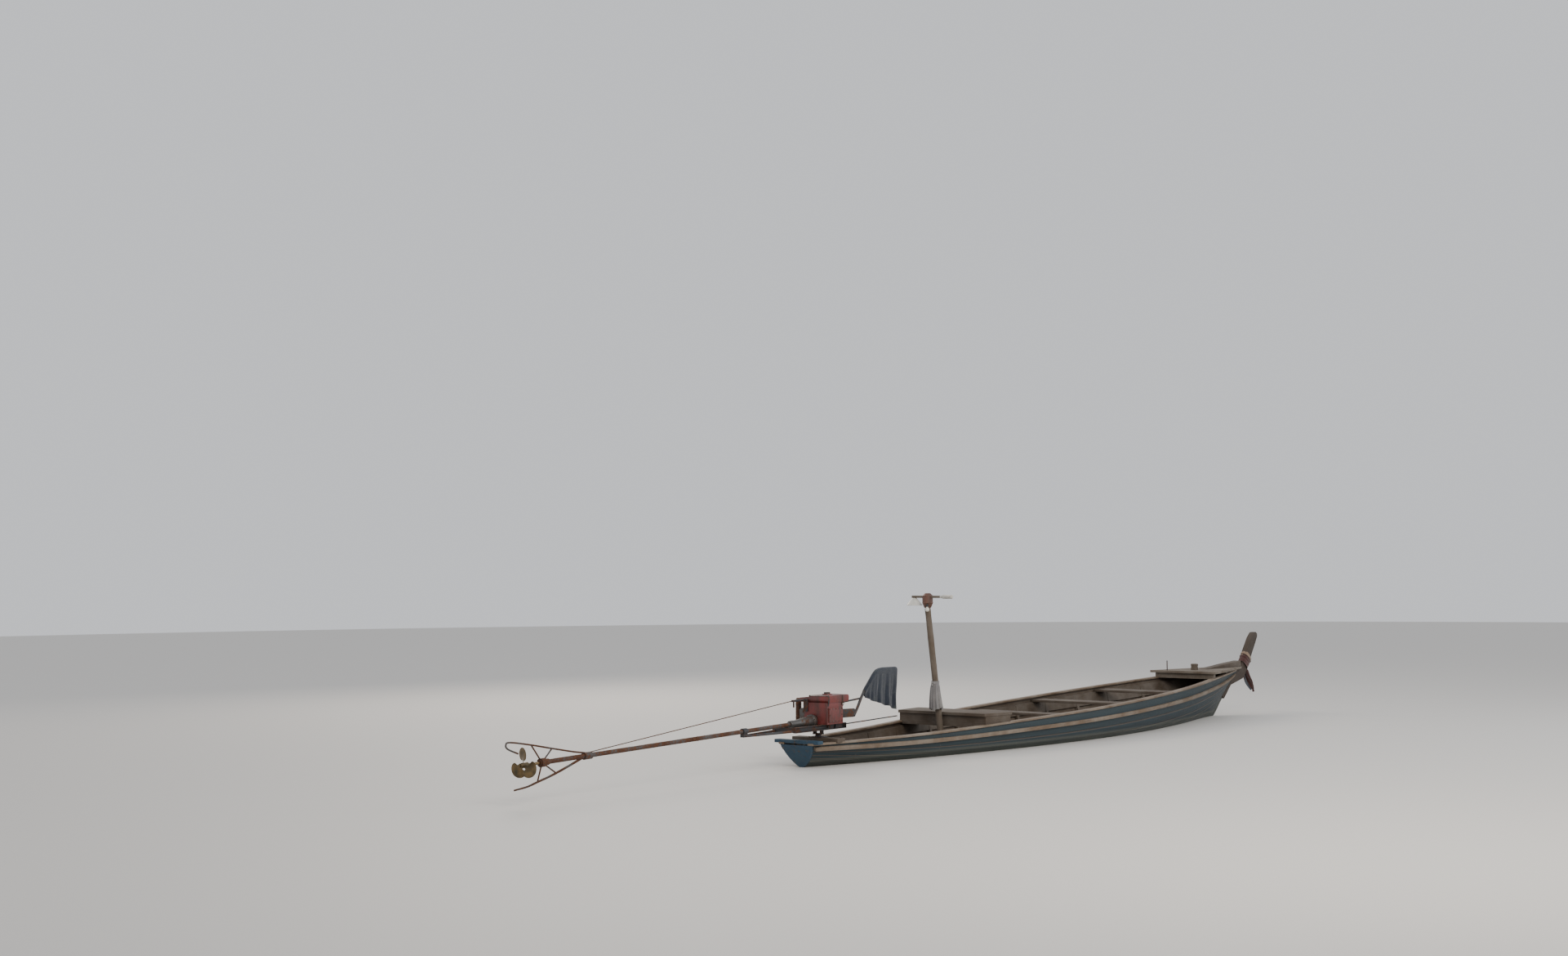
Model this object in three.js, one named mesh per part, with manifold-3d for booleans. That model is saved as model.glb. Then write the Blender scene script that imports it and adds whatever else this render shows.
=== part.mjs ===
// Longtail boat: a narrow planked hull with a motor on a swivel at the stern,
// its propeller on a long tail that is parked just clear of the water.
// Millimetres. +X is forward, +Y is port, +Z is up. The origin lies midships
// on the waterline.

import * as THREE from 'three';
import { mergeVertices } from 'three/addons/utils/BufferGeometryUtils.js';
import Module from 'manifold-3d';

const wasm = await Module();
wasm.setup();

// Driving dimensions of the hull
const WATERLINE_LENGTH = 9800;
const ORIGIN_FROM_STERN = WATERLINE_LENGTH / 2;
const GAP = 0.3;
const PLANK = 24;
const KEEL_HALF_WIDTH = 30;
const KEEL_DEPTH = 60;
const STEM_HALF_WIDTH = 42;
const STEM_GAP = 5;
const SECTION_SPLIT = 0.5;
const TRANSOM_THICKNESS = 35;

// Driving dimensions of the rails and the inside
const CAP_THICKNESS = 25;
const CAP_WIDTH = 85;
const CAP_OVERHANG = 22;
const RUB_WIDTH = 34;
const RUB_HEIGHT = 46;
const FLOOR_TOP = -96;
const FLOOR_BOARD = 22;
const FLOOR_AFT = 1780;
const FLOOR_FORE = 7900;
const FRAME_WIDTH = 46;
const FRAME_DEPTH = 38;

// Driving dimensions of the beams, the bench and the mast
const MOTOR_BEAM_TOP = 325;
const STERN_BEAM_TOP = 318;
const BENCH_AFT = 2730;
const BENCH_LENGTH = 520;
const BENCH_INSET = 18;
const BENCH_FOOT = 300;
const BENCH_TOP = 478;
const MAST_STATION = 2767;
const MAST_RADIUS = 42;
const MAST_TOP = 1790;
const MAST_LEAN = 292;
const DECK_TOP = 725;
const DECK_THICKNESS = 34;
const DECK_AFT = 8950;
const DECK_FORE = 10730;

// Driving dimensions of the motor: its pivot, tail and propeller
const PIVOT_STATION = 284;
const TILT_HEIGHT = 450;
const REST_STEER = THREE.MathUtils.degToRad(3.1);
const TAIL_SLOPE = 0.0265;
const TAIL_HEIGHT = 524;
const TAIL_RADIUS = 24;
const BEARING_AFT = 4640;
const PROPELLER_AFT = 4855;
const PROPELLER_RADIUS = 174;
const RAIL_OFFSET = 150;
const SPINDLE_RADIUS = 17;
const PIN_RADIUS = 12;
const SHAFT_RADIUS = 15;
const PIN_PLAY = 0.6;

// Sections of the planking from the stern to the stem, in millimetres forward
// of the sternpost's foot, off the centreline and above the water: keel line,
// control point of the turn, top edge.
const STATIONS = [
  // keelS, keelZ, turnS, turnY, turnZ, topS, topY, topZ
  [0, 0, -30, 180, 95, -95, 238, 262],
  [900, -95, 880, 390, -10, 860, 430, 271],
  [2000, -160, 2000, 640, -95, 2000, 598, 290],
  [3400, -200, 3400, 850, -160, 3400, 765, 343],
  [5000, -215, 5000, 960, -185, 5000, 868, 400],
  [6500, -208, 6500, 880, -165, 6520, 838, 467],
  [7900, -178, 7930, 600, -110, 7980, 690, 541],
  [9000, -105, 9080, 300, 10, 9180, 462, 612],
  [9700, -5, 9820, 130, 230, 10040, 235, 652],
  [10100, 300, 10350, 50, 484, 10600, 46, 668],
];

const group = new THREE.Group();

const paint = {
  hull: new THREE.MeshStandardMaterial({ color: 0x2b3f45, roughness: 0.7 }),
  trim: new THREE.MeshStandardMaterial({ color: 0x8a6f45, roughness: 0.7 }),
  wood: new THREE.MeshStandardMaterial({ color: 0x5c4630, roughness: 0.8 }),
  steel: new THREE.MeshStandardMaterial({ color: 0x3c3836, roughness: 0.6, metalness: 0.7 }),
  bronze: new THREE.MeshStandardMaterial({ color: 0x8c7340, roughness: 0.4, metalness: 0.9 }),
  engine: new THREE.MeshStandardMaterial({ color: 0x8a2a20, roughness: 0.55 }),
  lamp: new THREE.MeshStandardMaterial({ color: 0xd9d6cc, roughness: 0.4 }),
  cloth: new THREE.MeshStandardMaterial({ color: 0x4c5148, roughness: 0.95 }),
  paleCloth: new THREE.MeshStandardMaterial({ color: 0xc9c2b2, roughness: 0.95 }),
  ribbon: new THREE.MeshStandardMaterial({ color: 0xb5382a, roughness: 0.9 }),
};

const v = (x, y, z) => new THREE.Vector3(x, y, z);
const lerp = THREE.MathUtils.lerp;

// A piece: one closed solid with its own name and finish.
function piece(name, geometry, material, parent = group) {
  const mesh = new THREE.Mesh(geometry, material);
  mesh.name = name;
  parent.add(mesh);
  return mesh;
}

// Joining and cutting of closed solids.
function toSolid(geometry) {
  const bare = geometry.clone();
  bare.deleteAttribute('normal');
  bare.deleteAttribute('uv');
  const merged = mergeVertices(bare, 1e-3);
  return new wasm.Manifold(new wasm.Mesh({
    numProp: 3,
    vertProperties: new Float32Array(merged.attributes.position.array),
    triVerts: new Uint32Array(merged.index.array),
  }));
}

function toGeometry(solid) {
  const mesh = solid.getMesh();
  const geometry = new THREE.BufferGeometry();
  geometry.setAttribute('position', new THREE.BufferAttribute(mesh.vertProperties, 3));
  geometry.setIndex(new THREE.BufferAttribute(mesh.triVerts, 1));
  return geometry;
}

function join(...geometries) {
  return toGeometry(geometries.map(toSolid).reduce((a, b) => a.add(b)));
}

function cut(geometry, ...tools) {
  return toGeometry(tools.map(toSolid).reduce((a, b) => a.subtract(b), toSolid(geometry)));
}

// A closed strip between two sheets of points of the same rows and columns:
// a plank, a rail or a plate, with its edges and ends.
function strip(outer, inner) {
  const rows = outer.length;
  const cols = outer[0].length;
  const points = [...outer.flat(), ...inner.flat()];
  const at = (side, i, j) => side * rows * cols + i * cols + j;
  const faces = [];
  const quad = (a, b, c, d) => faces.push(a, b, c, a, c, d);
  for (let i = 0; i < rows - 1; i++) {
    for (let j = 0; j < cols - 1; j++) {
      quad(at(0, i, j), at(0, i, j + 1), at(0, i + 1, j + 1), at(0, i + 1, j));
      quad(at(1, i, j), at(1, i + 1, j), at(1, i + 1, j + 1), at(1, i, j + 1));
    }
    quad(at(0, i, 0), at(0, i + 1, 0), at(1, i + 1, 0), at(1, i, 0));
    quad(at(0, i, cols - 1), at(1, i, cols - 1), at(1, i + 1, cols - 1), at(0, i + 1, cols - 1));
  }
  for (let j = 0; j < cols - 1; j++) {
    quad(at(0, 0, j), at(1, 0, j), at(1, 0, j + 1), at(0, 0, j + 1));
    quad(at(0, rows - 1, j), at(0, rows - 1, j + 1), at(1, rows - 1, j + 1), at(1, rows - 1, j));
  }
  return outwards(points, faces);
}

// A mesh from points and faces, turned so that its faces point out.
function outwards(points, faces) {
  let volume = 0;
  for (let i = 0; i < faces.length; i += 3) {
    const [a, b, c] = [points[faces[i]], points[faces[i + 1]], points[faces[i + 2]]];
    volume += a.dot(b.clone().cross(c));
  }
  const ordered = volume > 0 ? faces : faces.slice().reverse();
  const geometry = new THREE.BufferGeometry();
  geometry.setAttribute('position', new THREE.Float32BufferAttribute(points.flatMap((p) => [p.x, p.y, p.z]), 3));
  geometry.setIndex(ordered);
  return geometry;
}

function box(x0, x1, y0, y1, z0, z1) {
  const geometry = new THREE.BoxGeometry(x1 - x0, y1 - y0, z1 - z0);
  return geometry.translate((x0 + x1) / 2, (y0 + y1) / 2, (z0 + z1) / 2);
}

// A round bar from one point to another.
function bar(a, b, radius, sides = 10, endRadius = radius) {
  const span = b.clone().sub(a);
  const geometry = new THREE.CylinderGeometry(endRadius, radius, span.length(), sides);
  geometry.applyQuaternion(new THREE.Quaternion().setFromUnitVectors(v(0, 1, 0), span.clone().normalize()));
  return geometry.translate((a.x + b.x) / 2, (a.y + b.y) / 2, (a.z + b.z) / 2);
}

// A bent pipe or rod along a smooth curve.
function pipe(points, radius, sides = 10, steps = 24) {
  const section = new THREE.Shape();
  for (let i = 0; i < sides; i++) {
    const turn = (2 * Math.PI * i) / sides;
    const place = [radius * Math.cos(turn), radius * Math.sin(turn)];
    if (i === 0) section.moveTo(...place);
    else section.lineTo(...place);
  }
  section.closePath();
  const path = new THREE.CatmullRomCurve3(points, false, 'centripetal');
  return new THREE.ExtrudeGeometry(section, { steps, bevelEnabled: false, extrudePath: path });
}

// A plate cut to an outline in the fore-and-aft plane, across the centreline.
function plateXZ(outline, y0, y1, holes = []) {
  const shape = new THREE.Shape(outline.map(([x, z]) => new THREE.Vector2(x, z)));
  for (const hole of holes) shape.holes.push(hole);
  const geometry = new THREE.ExtrudeGeometry(shape, { depth: y1 - y0, bevelEnabled: false });
  return geometry.rotateX(Math.PI / 2).translate(0, y1, 0);
}

// A plate cut to an outline in the horizontal plane.
function plateXY(outline, z0, z1) {
  const shape = new THREE.Shape(outline.map(([x, y]) => new THREE.Vector2(x, y)));
  return new THREE.ExtrudeGeometry(shape, { depth: z1 - z0, bevelEnabled: false }).translate(0, 0, z0);
}

const fromStern = (s) => s - ORIGIN_FROM_STERN;

// Lines of the hull: keel, turn and top edge, each a smooth curve through the
// sections, all read at the same step from stern to stem.
const line = (s, y, z) => new THREE.CatmullRomCurve3(
  STATIONS.map((row) => v(fromStern(row[s]), y === null ? 0 : row[y], row[z])), false, 'catmullrom', 0.5,
);
const keelLine = line(0, null, 1);
const turnLine = line(2, 3, 4);
const topLine = line(5, 6, 7);

// A point of the planking on the port side: u runs from stern to stem, t from
// keel to top edge, and depth is how far it lies inside the outer face.
function hullPoint(u, t, depth = 0) {
  const keel = keelLine.getPoint(u).setY(KEEL_HALF_WIDTH);
  const turn = turnLine.getPoint(u);
  const top = topLine.getPoint(u);
  const place = keel.clone().multiplyScalar((1 - t) ** 2);
  place.addScaledVector(turn, 2 * t * (1 - t)).addScaledVector(top, t * t);
  if (depth === 0) return place;
  const along = turn.clone().sub(keel).multiplyScalar(1 - t).addScaledVector(top.clone().sub(turn), t);
  const size = Math.hypot(along.y, along.z);
  if (t === 1) return place.setY(place.y - (depth * size) / along.z);
  place.y = Math.max(place.y - (depth * along.z) / size, 4);
  place.z += (depth * along.y) / size;
  return place;
}

const mirrored = (p) => v(p.x, -p.y, p.z);
const sides = { port: (p) => p, starboard: mirrored };
const steps = (from, to, count) => Array.from({ length: count + 1 }, (_, i) => lerp(from, to, i / count));
const ROW_COUNT = 36;
const COLUMN_COUNT = 8;
const ROWS = steps(0, 1, ROW_COUNT);

// The same point on the flat faces that the planking is made of, for what
// stands against its inside.
function seatPoint(u, t, depth) {
  const row = Math.min(Math.floor(u * ROW_COUNT), ROW_COUNT - 1);
  const column = Math.min(Math.floor(t * COLUMN_COUNT), COLUMN_COUNT - 1);
  const corner = (i, j) => hullPoint((row + i) / ROW_COUNT, (column + j) / COLUMN_COUNT, depth);
  const [a, b] = [t * COLUMN_COUNT - column, u * ROW_COUNT - row];
  return corner(0, 0).lerp(corner(0, 1), a).lerp(corner(1, 0).lerp(corner(1, 1), a), b);
}

// Step along the hull at which the top edge, or the keel, reaches a station.
function stepAt(curve, s) {
  let low = 0;
  let high = 1;
  for (let i = 0; i < 30; i++) {
    const mid = (low + high) / 2;
    if (curve.getPoint(mid).x < fromStern(s)) low = mid;
    else high = mid;
  }
  return low;
}
const topAt = (s) => topLine.getPoint(stepAt(topLine, s));

// Half breadth inside the planking at a height.
function insideAt(s, z) {
  const u = stepAt(keelLine, s);
  const columns = steps(0, 1, 40).map((t) => hullPoint(u, t, PLANK));
  const above = columns.findIndex((p) => p.z >= z);
  if (above <= 0) return columns[0].y;
  const [a, b] = [columns[above - 1], columns[above]];
  return lerp(a.y, b.y, (z - a.z) / (b.z - a.z));
}

// Bottom planking from the middle of the keel to the turn, in four lengths on
// each side that butt on each other
const BUTT_ROWS = { aft: [0, 11], middle: [11, 17], fore: [17, 23], bow: [23, ROW_COUNT] };
const BUTT_GAP = 1.5e-5;
const BOTTOM_COLUMNS = steps(0, SECTION_SPLIT, 4);
for (const [side, turn] of Object.entries(sides)) {
  for (const [length, [first, last]] of Object.entries(BUTT_ROWS)) {
    const rows = ROWS.slice(first, last + 1);
    if (first > 0) rows[0] += BUTT_GAP;
    if (last < ROW_COUNT) rows[rows.length - 1] -= BUTT_GAP;
    const sheet = (depth) => rows.map((u) => [
      turn(hullPoint(u, 0, depth).setY(GAP / 2)), ...BOTTOM_COLUMNS.map((t) => turn(hullPoint(u, t, depth))),
    ]);
    piece(`bottom_planking_${side}_${length}`, strip(sheet(0), sheet(PLANK)), paint.hull);
  }
}

// Side planking, one on each side
const SIDE_COLUMNS = steps(SECTION_SPLIT, 1, 4);
SIDE_COLUMNS[0] += 0.0006;
const sideSheet = (turn, depth) => ROWS.map((u) => SIDE_COLUMNS.map((t) => turn(hullPoint(u, t, depth))));
for (const [side, turn] of Object.entries(sides)) {
  piece(`side_planking_${side}`, strip(sideSheet(turn, 0), sideSheet(turn, PLANK)), paint.hull);
}

// Keel, a timber along the bottom that turns up into the forefoot
const keelRows = ROWS.map((u) => {
  const place = keelLine.getPoint(u);
  const along = keelLine.getTangent(u);
  const down = v(along.z, 0, -along.x);
  const corner = (y, depth) => place.clone().addScaledVector(down, depth).setY(y);
  return { near: [corner(-KEEL_HALF_WIDTH, GAP), corner(KEEL_HALF_WIDTH, GAP)],
    far: [corner(-KEEL_HALF_WIDTH * 0.8, KEEL_DEPTH), corner(KEEL_HALF_WIDTH * 0.8, KEEL_DEPTH)] };
});
piece('keel', strip(keelRows.map((r) => r.near), keelRows.map((r) => r.far)), paint.hull);

// Stem: the planks' ends butt on its after face, and its head rakes up as the post
const stemOutline = [
  [10100, 299], [10166, 246], [10400, 448], [10790, 530], [10880, 590], [11060, 830], [11250, 1085],
  [11315, 1180], [11310, 1225], [11270, 1250], [11205, 1245], [11105, 1165], [10948, 975],
  [10812, 790], [10745, 690.7], [10625, 685],
].map(([s, z]) => [fromStern(s) + STEM_GAP, z]);
piece('stem', plateXZ(stemOutline, -STEM_HALF_WIDTH, STEM_HALF_WIDTH), paint.trim);

// Transom, a raked board that closes the planks' after ends
const transomColumns = steps(0, 1, 6);
const transomEdge = (depth) => {
  const port = transomColumns.map((t) => hullPoint(0, t).add(v(depth, 0, 0)));
  return [port.map(mirrored), port];
};
const [transomAft, transomFore] = [transomEdge(-TRANSOM_THICKNESS), transomEdge(-GAP)];
piece('transom', strip(transomAft, transomFore), paint.hull);

// Gunwale caps along the top edges, from over the transom up to the stem, and
// the room for them in whatever is notched over them
const capEdge = (turn, inwards, up) => ROWS.slice(0, -1).map((u) => {
  const top = topLine.getPoint(u);
  const x = u === 0 ? top.x - TRANSOM_THICKNESS : top.x;
  return turn(v(x, Math.max(top.y + CAP_OVERHANG - inwards, STEM_HALF_WIDTH + 2), top.z + up));
});
function capBar(turn, slack, low, high) {
  const level = (up) => {
    const outer = capEdge(turn, -slack, up);
    return capEdge(turn, CAP_WIDTH + slack, up).map((p, i) => [outer[i], p]);
  };
  return strip(level(low), level(high));
}
for (const [side, turn] of Object.entries(sides)) {
  piece(`gunwale_${side}`, capBar(turn, 0, GAP, CAP_THICKNESS), paint.trim);
}
const capRoom = Object.values(sides).map((turn) => capBar(turn, GAP, -40, CAP_THICKNESS + GAP));

// Rub rails on the outside, a little below the top edge
for (const [side, turn] of Object.entries(sides)) {
  const rows = [0.001, ...ROWS.slice(1, -1)].map((u) => {
    const t = lerp(0.9, 0.88, u);
    const upper = hullPoint(u, t + 0.001).sub(hullPoint(u, t)).normalize();
    const corner = (up, out) => turn(hullPoint(u, t, -out).addScaledVector(upper, up));
    return { near: [corner(-RUB_HEIGHT / 2, -PLANK / 2), corner(RUB_HEIGHT / 2, -PLANK / 2)],
      far: [corner(-RUB_HEIGHT / 2, RUB_WIDTH), corner(RUB_HEIGHT / 2, RUB_WIDTH)] };
  });
  const rail = strip(rows.map((r) => r.near), rows.map((r) => r.far));
  const planks = strip(sideSheet(turn, -GAP), sideSheet(turn, PLANK));
  piece(`rub_rail_${side}`, cut(rail, planks), paint.trim);
}

// Inwales with the side frames that they carry
const FRAME_STATIONS = [600, 1250, 1900, 2600, 3450, 4150, 4950, 5650, 6350, 7050, 7750, 8450];
const FRAME_GAP = 1.5;
const INWALE_TOP = 0.95;
const INWALE_FACES = [PLANK + FRAME_GAP, PLANK + FRAME_GAP + 30];
for (const [side, turn] of Object.entries(sides)) {
  const inwale = (depth) => ROWS.slice(1, 34).map((u) => [
    turn(seatPoint(u, INWALE_TOP, depth)), turn(seatPoint(u, INWALE_TOP - 0.16, depth)),
  ]);
  const rail = strip(...INWALE_FACES.map(inwale));
  const frames = FRAME_STATIONS.map((s) => {
    const rows = [stepAt(keelLine, s), stepAt(keelLine, s + FRAME_WIDTH)];
    const sheet = (depth) => rows.map((u) => steps(0.4, 0.93, 5).map((t) => turn(seatPoint(u, t, depth))));
    return strip(sheet(PLANK + FRAME_GAP), sheet(PLANK + FRAME_GAP + FRAME_DEPTH));
  });
  piece(`side_frames_${side}`, join(rail, ...frames), paint.wood);
}

// Floor timbers across the bottom, joined by the keelson that they cross
const FLOOR_UNDER = FLOOR_TOP - FLOOR_BOARD - GAP;
const floorTimbers = FRAME_STATIONS.filter((s) => s > FLOOR_AFT && s < FLOOR_FORE).map((s) => {
  const rows = [stepAt(keelLine, s - FRAME_WIDTH), stepAt(keelLine, s - 2)];
  const width = insideAt(s - FRAME_WIDTH, FLOOR_UNDER) - 45;
  const under = (u, y) => v(keelLine.getPoint(u).x, y, 0);
  const columns = steps(-1, 1, 8);
  const low = rows.map((u) => columns.map((c) => {
    const place = under(u, c * width);
    const curve = steps(0, 0.9, 36).map((t) => seatPoint(u, t, PLANK + FRAME_GAP));
    const y = Math.abs(place.y);
    const next = Math.max(curve.findIndex((p) => p.y >= y), 1);
    const [a, b] = [curve[next - 1], curve[next]];
    place.z = Math.max(lerp(a.z, b.z, THREE.MathUtils.clamp((y - a.y) / (b.y - a.y), 0, 1)), a.z) + 1;
    place.z = Math.min(place.z, FLOOR_UNDER - 3);
    return place;
  }));
  const high = low.map((row) => row.map((p) => v(p.x, p.y, FLOOR_UNDER)));
  return strip(low, high);
});
const keelson = strip(
  ...[[0.8, 1.5], [FLOOR_UNDER - 12, FLOOR_UNDER - 12]].map((heights, level) => steps(FLOOR_AFT + 20, FLOOR_FORE - 160, 16).map((s) => {
    const inside = seatPoint(stepAt(keelLine, s), 0, PLANK).z;
    const z = level === 0 ? inside + heights[0] : Math.max(heights[0], inside + 8);
    return [v(fromStern(s), -28, z), v(fromStern(s), 28, z)];
  })),
);
piece('floor_frames', join(keelson, ...floorTimbers), paint.wood);

// Floorboards, one lift-out panel of long boards
const floorRows = (z) => steps(FLOOR_AFT, FLOOR_FORE, 20).map((s) => {
  const width = insideAt(s, FLOOR_TOP - FLOOR_BOARD) - 16;
  return [v(fromStern(s), -width, z), v(fromStern(s), width, z)];
});
const boardGaps = [-300, -150, 0, 150, 300].flatMap((y) => [[2000, 4300], [4380, 7200]].map(([s0, s1]) => (
  box(fromStern(s0), fromStern(s1), y - 4, y + 4, FLOOR_TOP - 60, FLOOR_TOP + 60)
)));
piece('floorboards', cut(strip(floorRows(FLOOR_TOP - FLOOR_BOARD), floorRows(FLOOR_TOP)), ...boardGaps), paint.wood);

// Stern beam over the transom and motor beam forward of it, notched over the caps
const BEAM_UNDER = 278;
const sternBeam = box(fromStern(-125), fromStern(-30), -330, 330, BEAM_UNDER, STERN_BEAM_TOP);
piece('stern_beam', cut(sternBeam, ...capRoom), paint.trim);
const MOTOR_BEAM_LENGTH = 140;
const motorBeam = box(fromStern(PIVOT_STATION - MOTOR_BEAM_LENGTH / 2), fromStern(PIVOT_STATION + MOTOR_BEAM_LENGTH / 2),
  -345, 345, BEAM_UNDER, MOTOR_BEAM_TOP);
const beamBore = bar(v(fromStern(PIVOT_STATION), 0, 200), v(fromStern(PIVOT_STATION), 0, 400), SPINDLE_RADIUS + 2, 16);
const beamHeel = box(fromStern(PIVOT_STATION - 60), fromStern(PIVOT_STATION + 60), -150, 150, 205, 300);
piece('motor_beam', cut(join(motorBeam, beamHeel), beamBore, ...capRoom), paint.wood);

// Bench across the boat, boxed in below, with its ends on the gunwale caps
const BENCH_FORE = BENCH_AFT + BENCH_LENGTH;
const BENCH_UNDER = BENCH_TOP - 36;
const benchEdge = (from, to, inset) => [from, to].map((s) => [fromStern(s), topAt(s).y - BENCH_INSET - inset]);
function acrossHull(from, to, inset, z0, z1) {
  const edge = benchEdge(from, to, inset);
  return plateXY([...edge, ...edge.map(([x, y]) => [x, -y]).reverse()], z0, z1);
}
const benchEnd = (side) => {
  const plan = (inset) => benchEdge(BENCH_AFT + 26, BENCH_FORE - 22, inset).map(([x, y]) => [x, side * y]);
  return plateXY([...plan(8), ...plan(40).reverse()], BENCH_FOOT, BENCH_UNDER + 5);
};
const benchBoards = [
  acrossHull(BENCH_AFT, BENCH_FORE, 0, BENCH_UNDER, BENCH_TOP),
  ...[BENCH_AFT + 26, BENCH_FORE - 46].map((s) => acrossHull(s, s + 24, 8, BENCH_FOOT, BENCH_UNDER + 5)),
  benchEnd(1), benchEnd(-1),
];
piece('mast_bench', cut(join(...benchBoards), ...capRoom), paint.wood);

// Thwarts: planks that rest on the inwales
const THWART_STATIONS = [4500, 6050, 7500];
const THWART_LENGTH = 200;
const THWART_THICKNESS = 32;
THWART_STATIONS.forEach((s, i) => {
  const level = (up) => [s, s + THWART_LENGTH].map((at) => {
    const [outer, inner] = INWALE_FACES.map((depth) => seatPoint(stepAt(keelLine, at), INWALE_TOP, depth));
    const end = v(outer.x, outer.y - 9, Math.max(outer.z, inner.z) + GAP + up);
    return [mirrored(end), end];
  });
  piece(`thwart_${i + 1}`, strip(level(0), level(THWART_THICKNESS)), paint.wood);
});

// Foredeck of fore-and-aft planks on battens that stand on the gunwales
const deckEdge = steps(DECK_AFT, DECK_FORE - 130, 6).map((s) => [fromStern(s), topAt(Math.min(s, 10550)).y + 42]);
const deckOutline = [...deckEdge, [fromStern(DECK_FORE), 60]];
const deck = plateXY([...deckOutline, ...deckOutline.map(([x, y]) => [x, -y]).reverse()],
  DECK_TOP - DECK_THICKNESS, DECK_TOP);
const battens = [9000, 9700].map((s) => {
  const reach = topAt(s).y - 10;
  return box(fromStern(s), fromStern(s + 60), -reach, reach, topAt(s).z + 10, DECK_TOP - DECK_THICKNESS + 5);
});
const deckSeams = [-240, -120, 0, 120, 240].map((y) => (
  box(fromStern(9100), fromStern(9640 + (300 - Math.abs(y)) * 1.6), y - 3, y + 3, DECK_TOP - 60, DECK_TOP + 20)
));
piece('foredeck', cut(join(cut(deck, ...deckSeams), ...battens), ...capRoom), paint.wood);

// Knee on the foredeck behind the stem
const kneeOutline = [
  [9560, DECK_TOP + GAP], [10700, DECK_TOP + GAP], [10700, 815], [10300, 790], [9900, 758], [9600, 738],
].map(([s, z]) => [fromStern(s), z]);
const kneeStem = plateXZ(stemOutline.map(([x, z]) => [x - 2 * GAP, z + GAP]), -200, 200);
piece('bow_knee', cut(plateXZ(kneeOutline, -65, 65), kneeStem), paint.wood);

// Bollard and pin on the foredeck
const BOLLARD_STATION = 9320;
const bollardPost = bar(v(fromStern(BOLLARD_STATION), 0, DECK_TOP + GAP), v(fromStern(BOLLARD_STATION), 0, DECK_TOP + 95), 55, 16);
piece('bow_bollard', bollardPost, paint.wood);
const pinFoot = v(fromStern(9020), 300, DECK_TOP + GAP);
piece('bow_pin', bar(pinFoot, pinFoot.clone().add(v(0, 0, 150)), 8, 8), paint.steel);

// Bow cloths: the wrap round the stem post and the ribbon that hangs from it
const postFoot = v(fromStern(10800), 0, 640);
const postAxis = v(0.65, 0, 0.76).normalize();
const wrapCone = (slack) => bar(postFoot.clone().addScaledVector(postAxis, 75 - slack),
  postFoot.clone().addScaledVector(postAxis, 330 + slack), 130 + slack, 14, 118 + slack);
const wrap = cut(
  wrapCone(0),
  ...[[GAP, 0], [-GAP, 0], [0, GAP], [0, -GAP]].map(([dx, dz]) => (
    plateXZ(stemOutline.map(([x, z]) => [x + dx, z + dz]), -STEM_HALF_WIDTH - GAP, STEM_HALF_WIDTH + GAP)
  )),
);
piece('bow_wrap', wrap, paint.ribbon);
const ribbonTop = v(fromStern(10942), 0, 632);
const ribbonTip = v(fromStern(11230), 0, 300);
const ribbonMiddle = ribbonTop.clone().lerp(ribbonTip, 0.55);
const ribbonPast = ribbonTop.clone().lerp(ribbonTip, 0.56);
const ribbon = join(bar(ribbonTop, ribbonPast, 34, 12, 74), bar(ribbonMiddle, ribbonTip, 74, 12, 14));
piece('bow_ribbon', cut(ribbon, wrapCone(GAP)), paint.ribbon);

// Mast, lashed to the after edge of the bench
const STEP_TOP = FLOOR_TOP + 34;
const mastFoot = v(fromStern(MAST_STATION), 0, STEP_TOP + 7);
const mastHead = v(fromStern(MAST_STATION) - MAST_LEAN, 0, MAST_TOP);
const mastPoint = (z) => mastFoot.clone().lerp(mastHead, (z - mastFoot.z) / (mastHead.z - mastFoot.z));
piece('mast', bar(mastFoot, mastHead, MAST_RADIUS, 12, MAST_RADIUS * 0.9), paint.wood);
piece('mast_step', box(mastFoot.x - 110, mastFoot.x + 90, -110, 110, FLOOR_TOP + GAP, STEP_TOP), paint.wood);

// Lamp on the masthead, with an arm through it that carries a shade
const LAMP_FOOT = MAST_TOP + 6.2;
const ARM_HEIGHT = MAST_TOP + 130;
const ARM_HALF = 15;
const SHADE_PORT = 205;
const lampAt = (z, y = 0) => v(mastHead.x, y, z);
piece('lamp_arm', box(mastHead.x - ARM_HALF, mastHead.x + ARM_HALF, -200, SHADE_PORT + 35, ARM_HEIGHT, ARM_HEIGHT + 30), paint.wood);
const lampBody = join(
  bar(lampAt(LAMP_FOOT), lampAt(LAMP_FOOT + 60), 44, 16, 68),
  bar(lampAt(LAMP_FOOT + 59), lampAt(LAMP_FOOT + 150), 68, 16),
  bar(lampAt(LAMP_FOOT + 149), lampAt(LAMP_FOOT + 185), 68, 16, 36),
);
piece('lamp_body', cut(lampBody, box(mastHead.x - ARM_HALF - GAP, mastHead.x + ARM_HALF + GAP, -200, 200,
  ARM_HEIGHT - GAP, ARM_HEIGHT + 30 + GAP)), paint.lamp);
const shade = new THREE.LatheGeometry([
  [0, 0], [24, 0], [97, -84], [101, -84], [101, -78], [30, 8], [0, 8],
].map(([r, z]) => new THREE.Vector2(r, z)), 20).rotateX(Math.PI / 2);
piece('lamp_shade', shade.translate(mastHead.x, SHADE_PORT, ARM_HEIGHT - 8 - GAP), paint.lamp);

const tubeAt = (y) => v(mastHead.x, y, ARM_HEIGHT + 15);
piece('lamp_tube', join(
  bar(tubeAt(-200 - GAP), tubeAt(-236), 17, 12), bar(tubeAt(-235), tubeAt(-385), 25, 14),
), paint.lamp);

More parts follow.
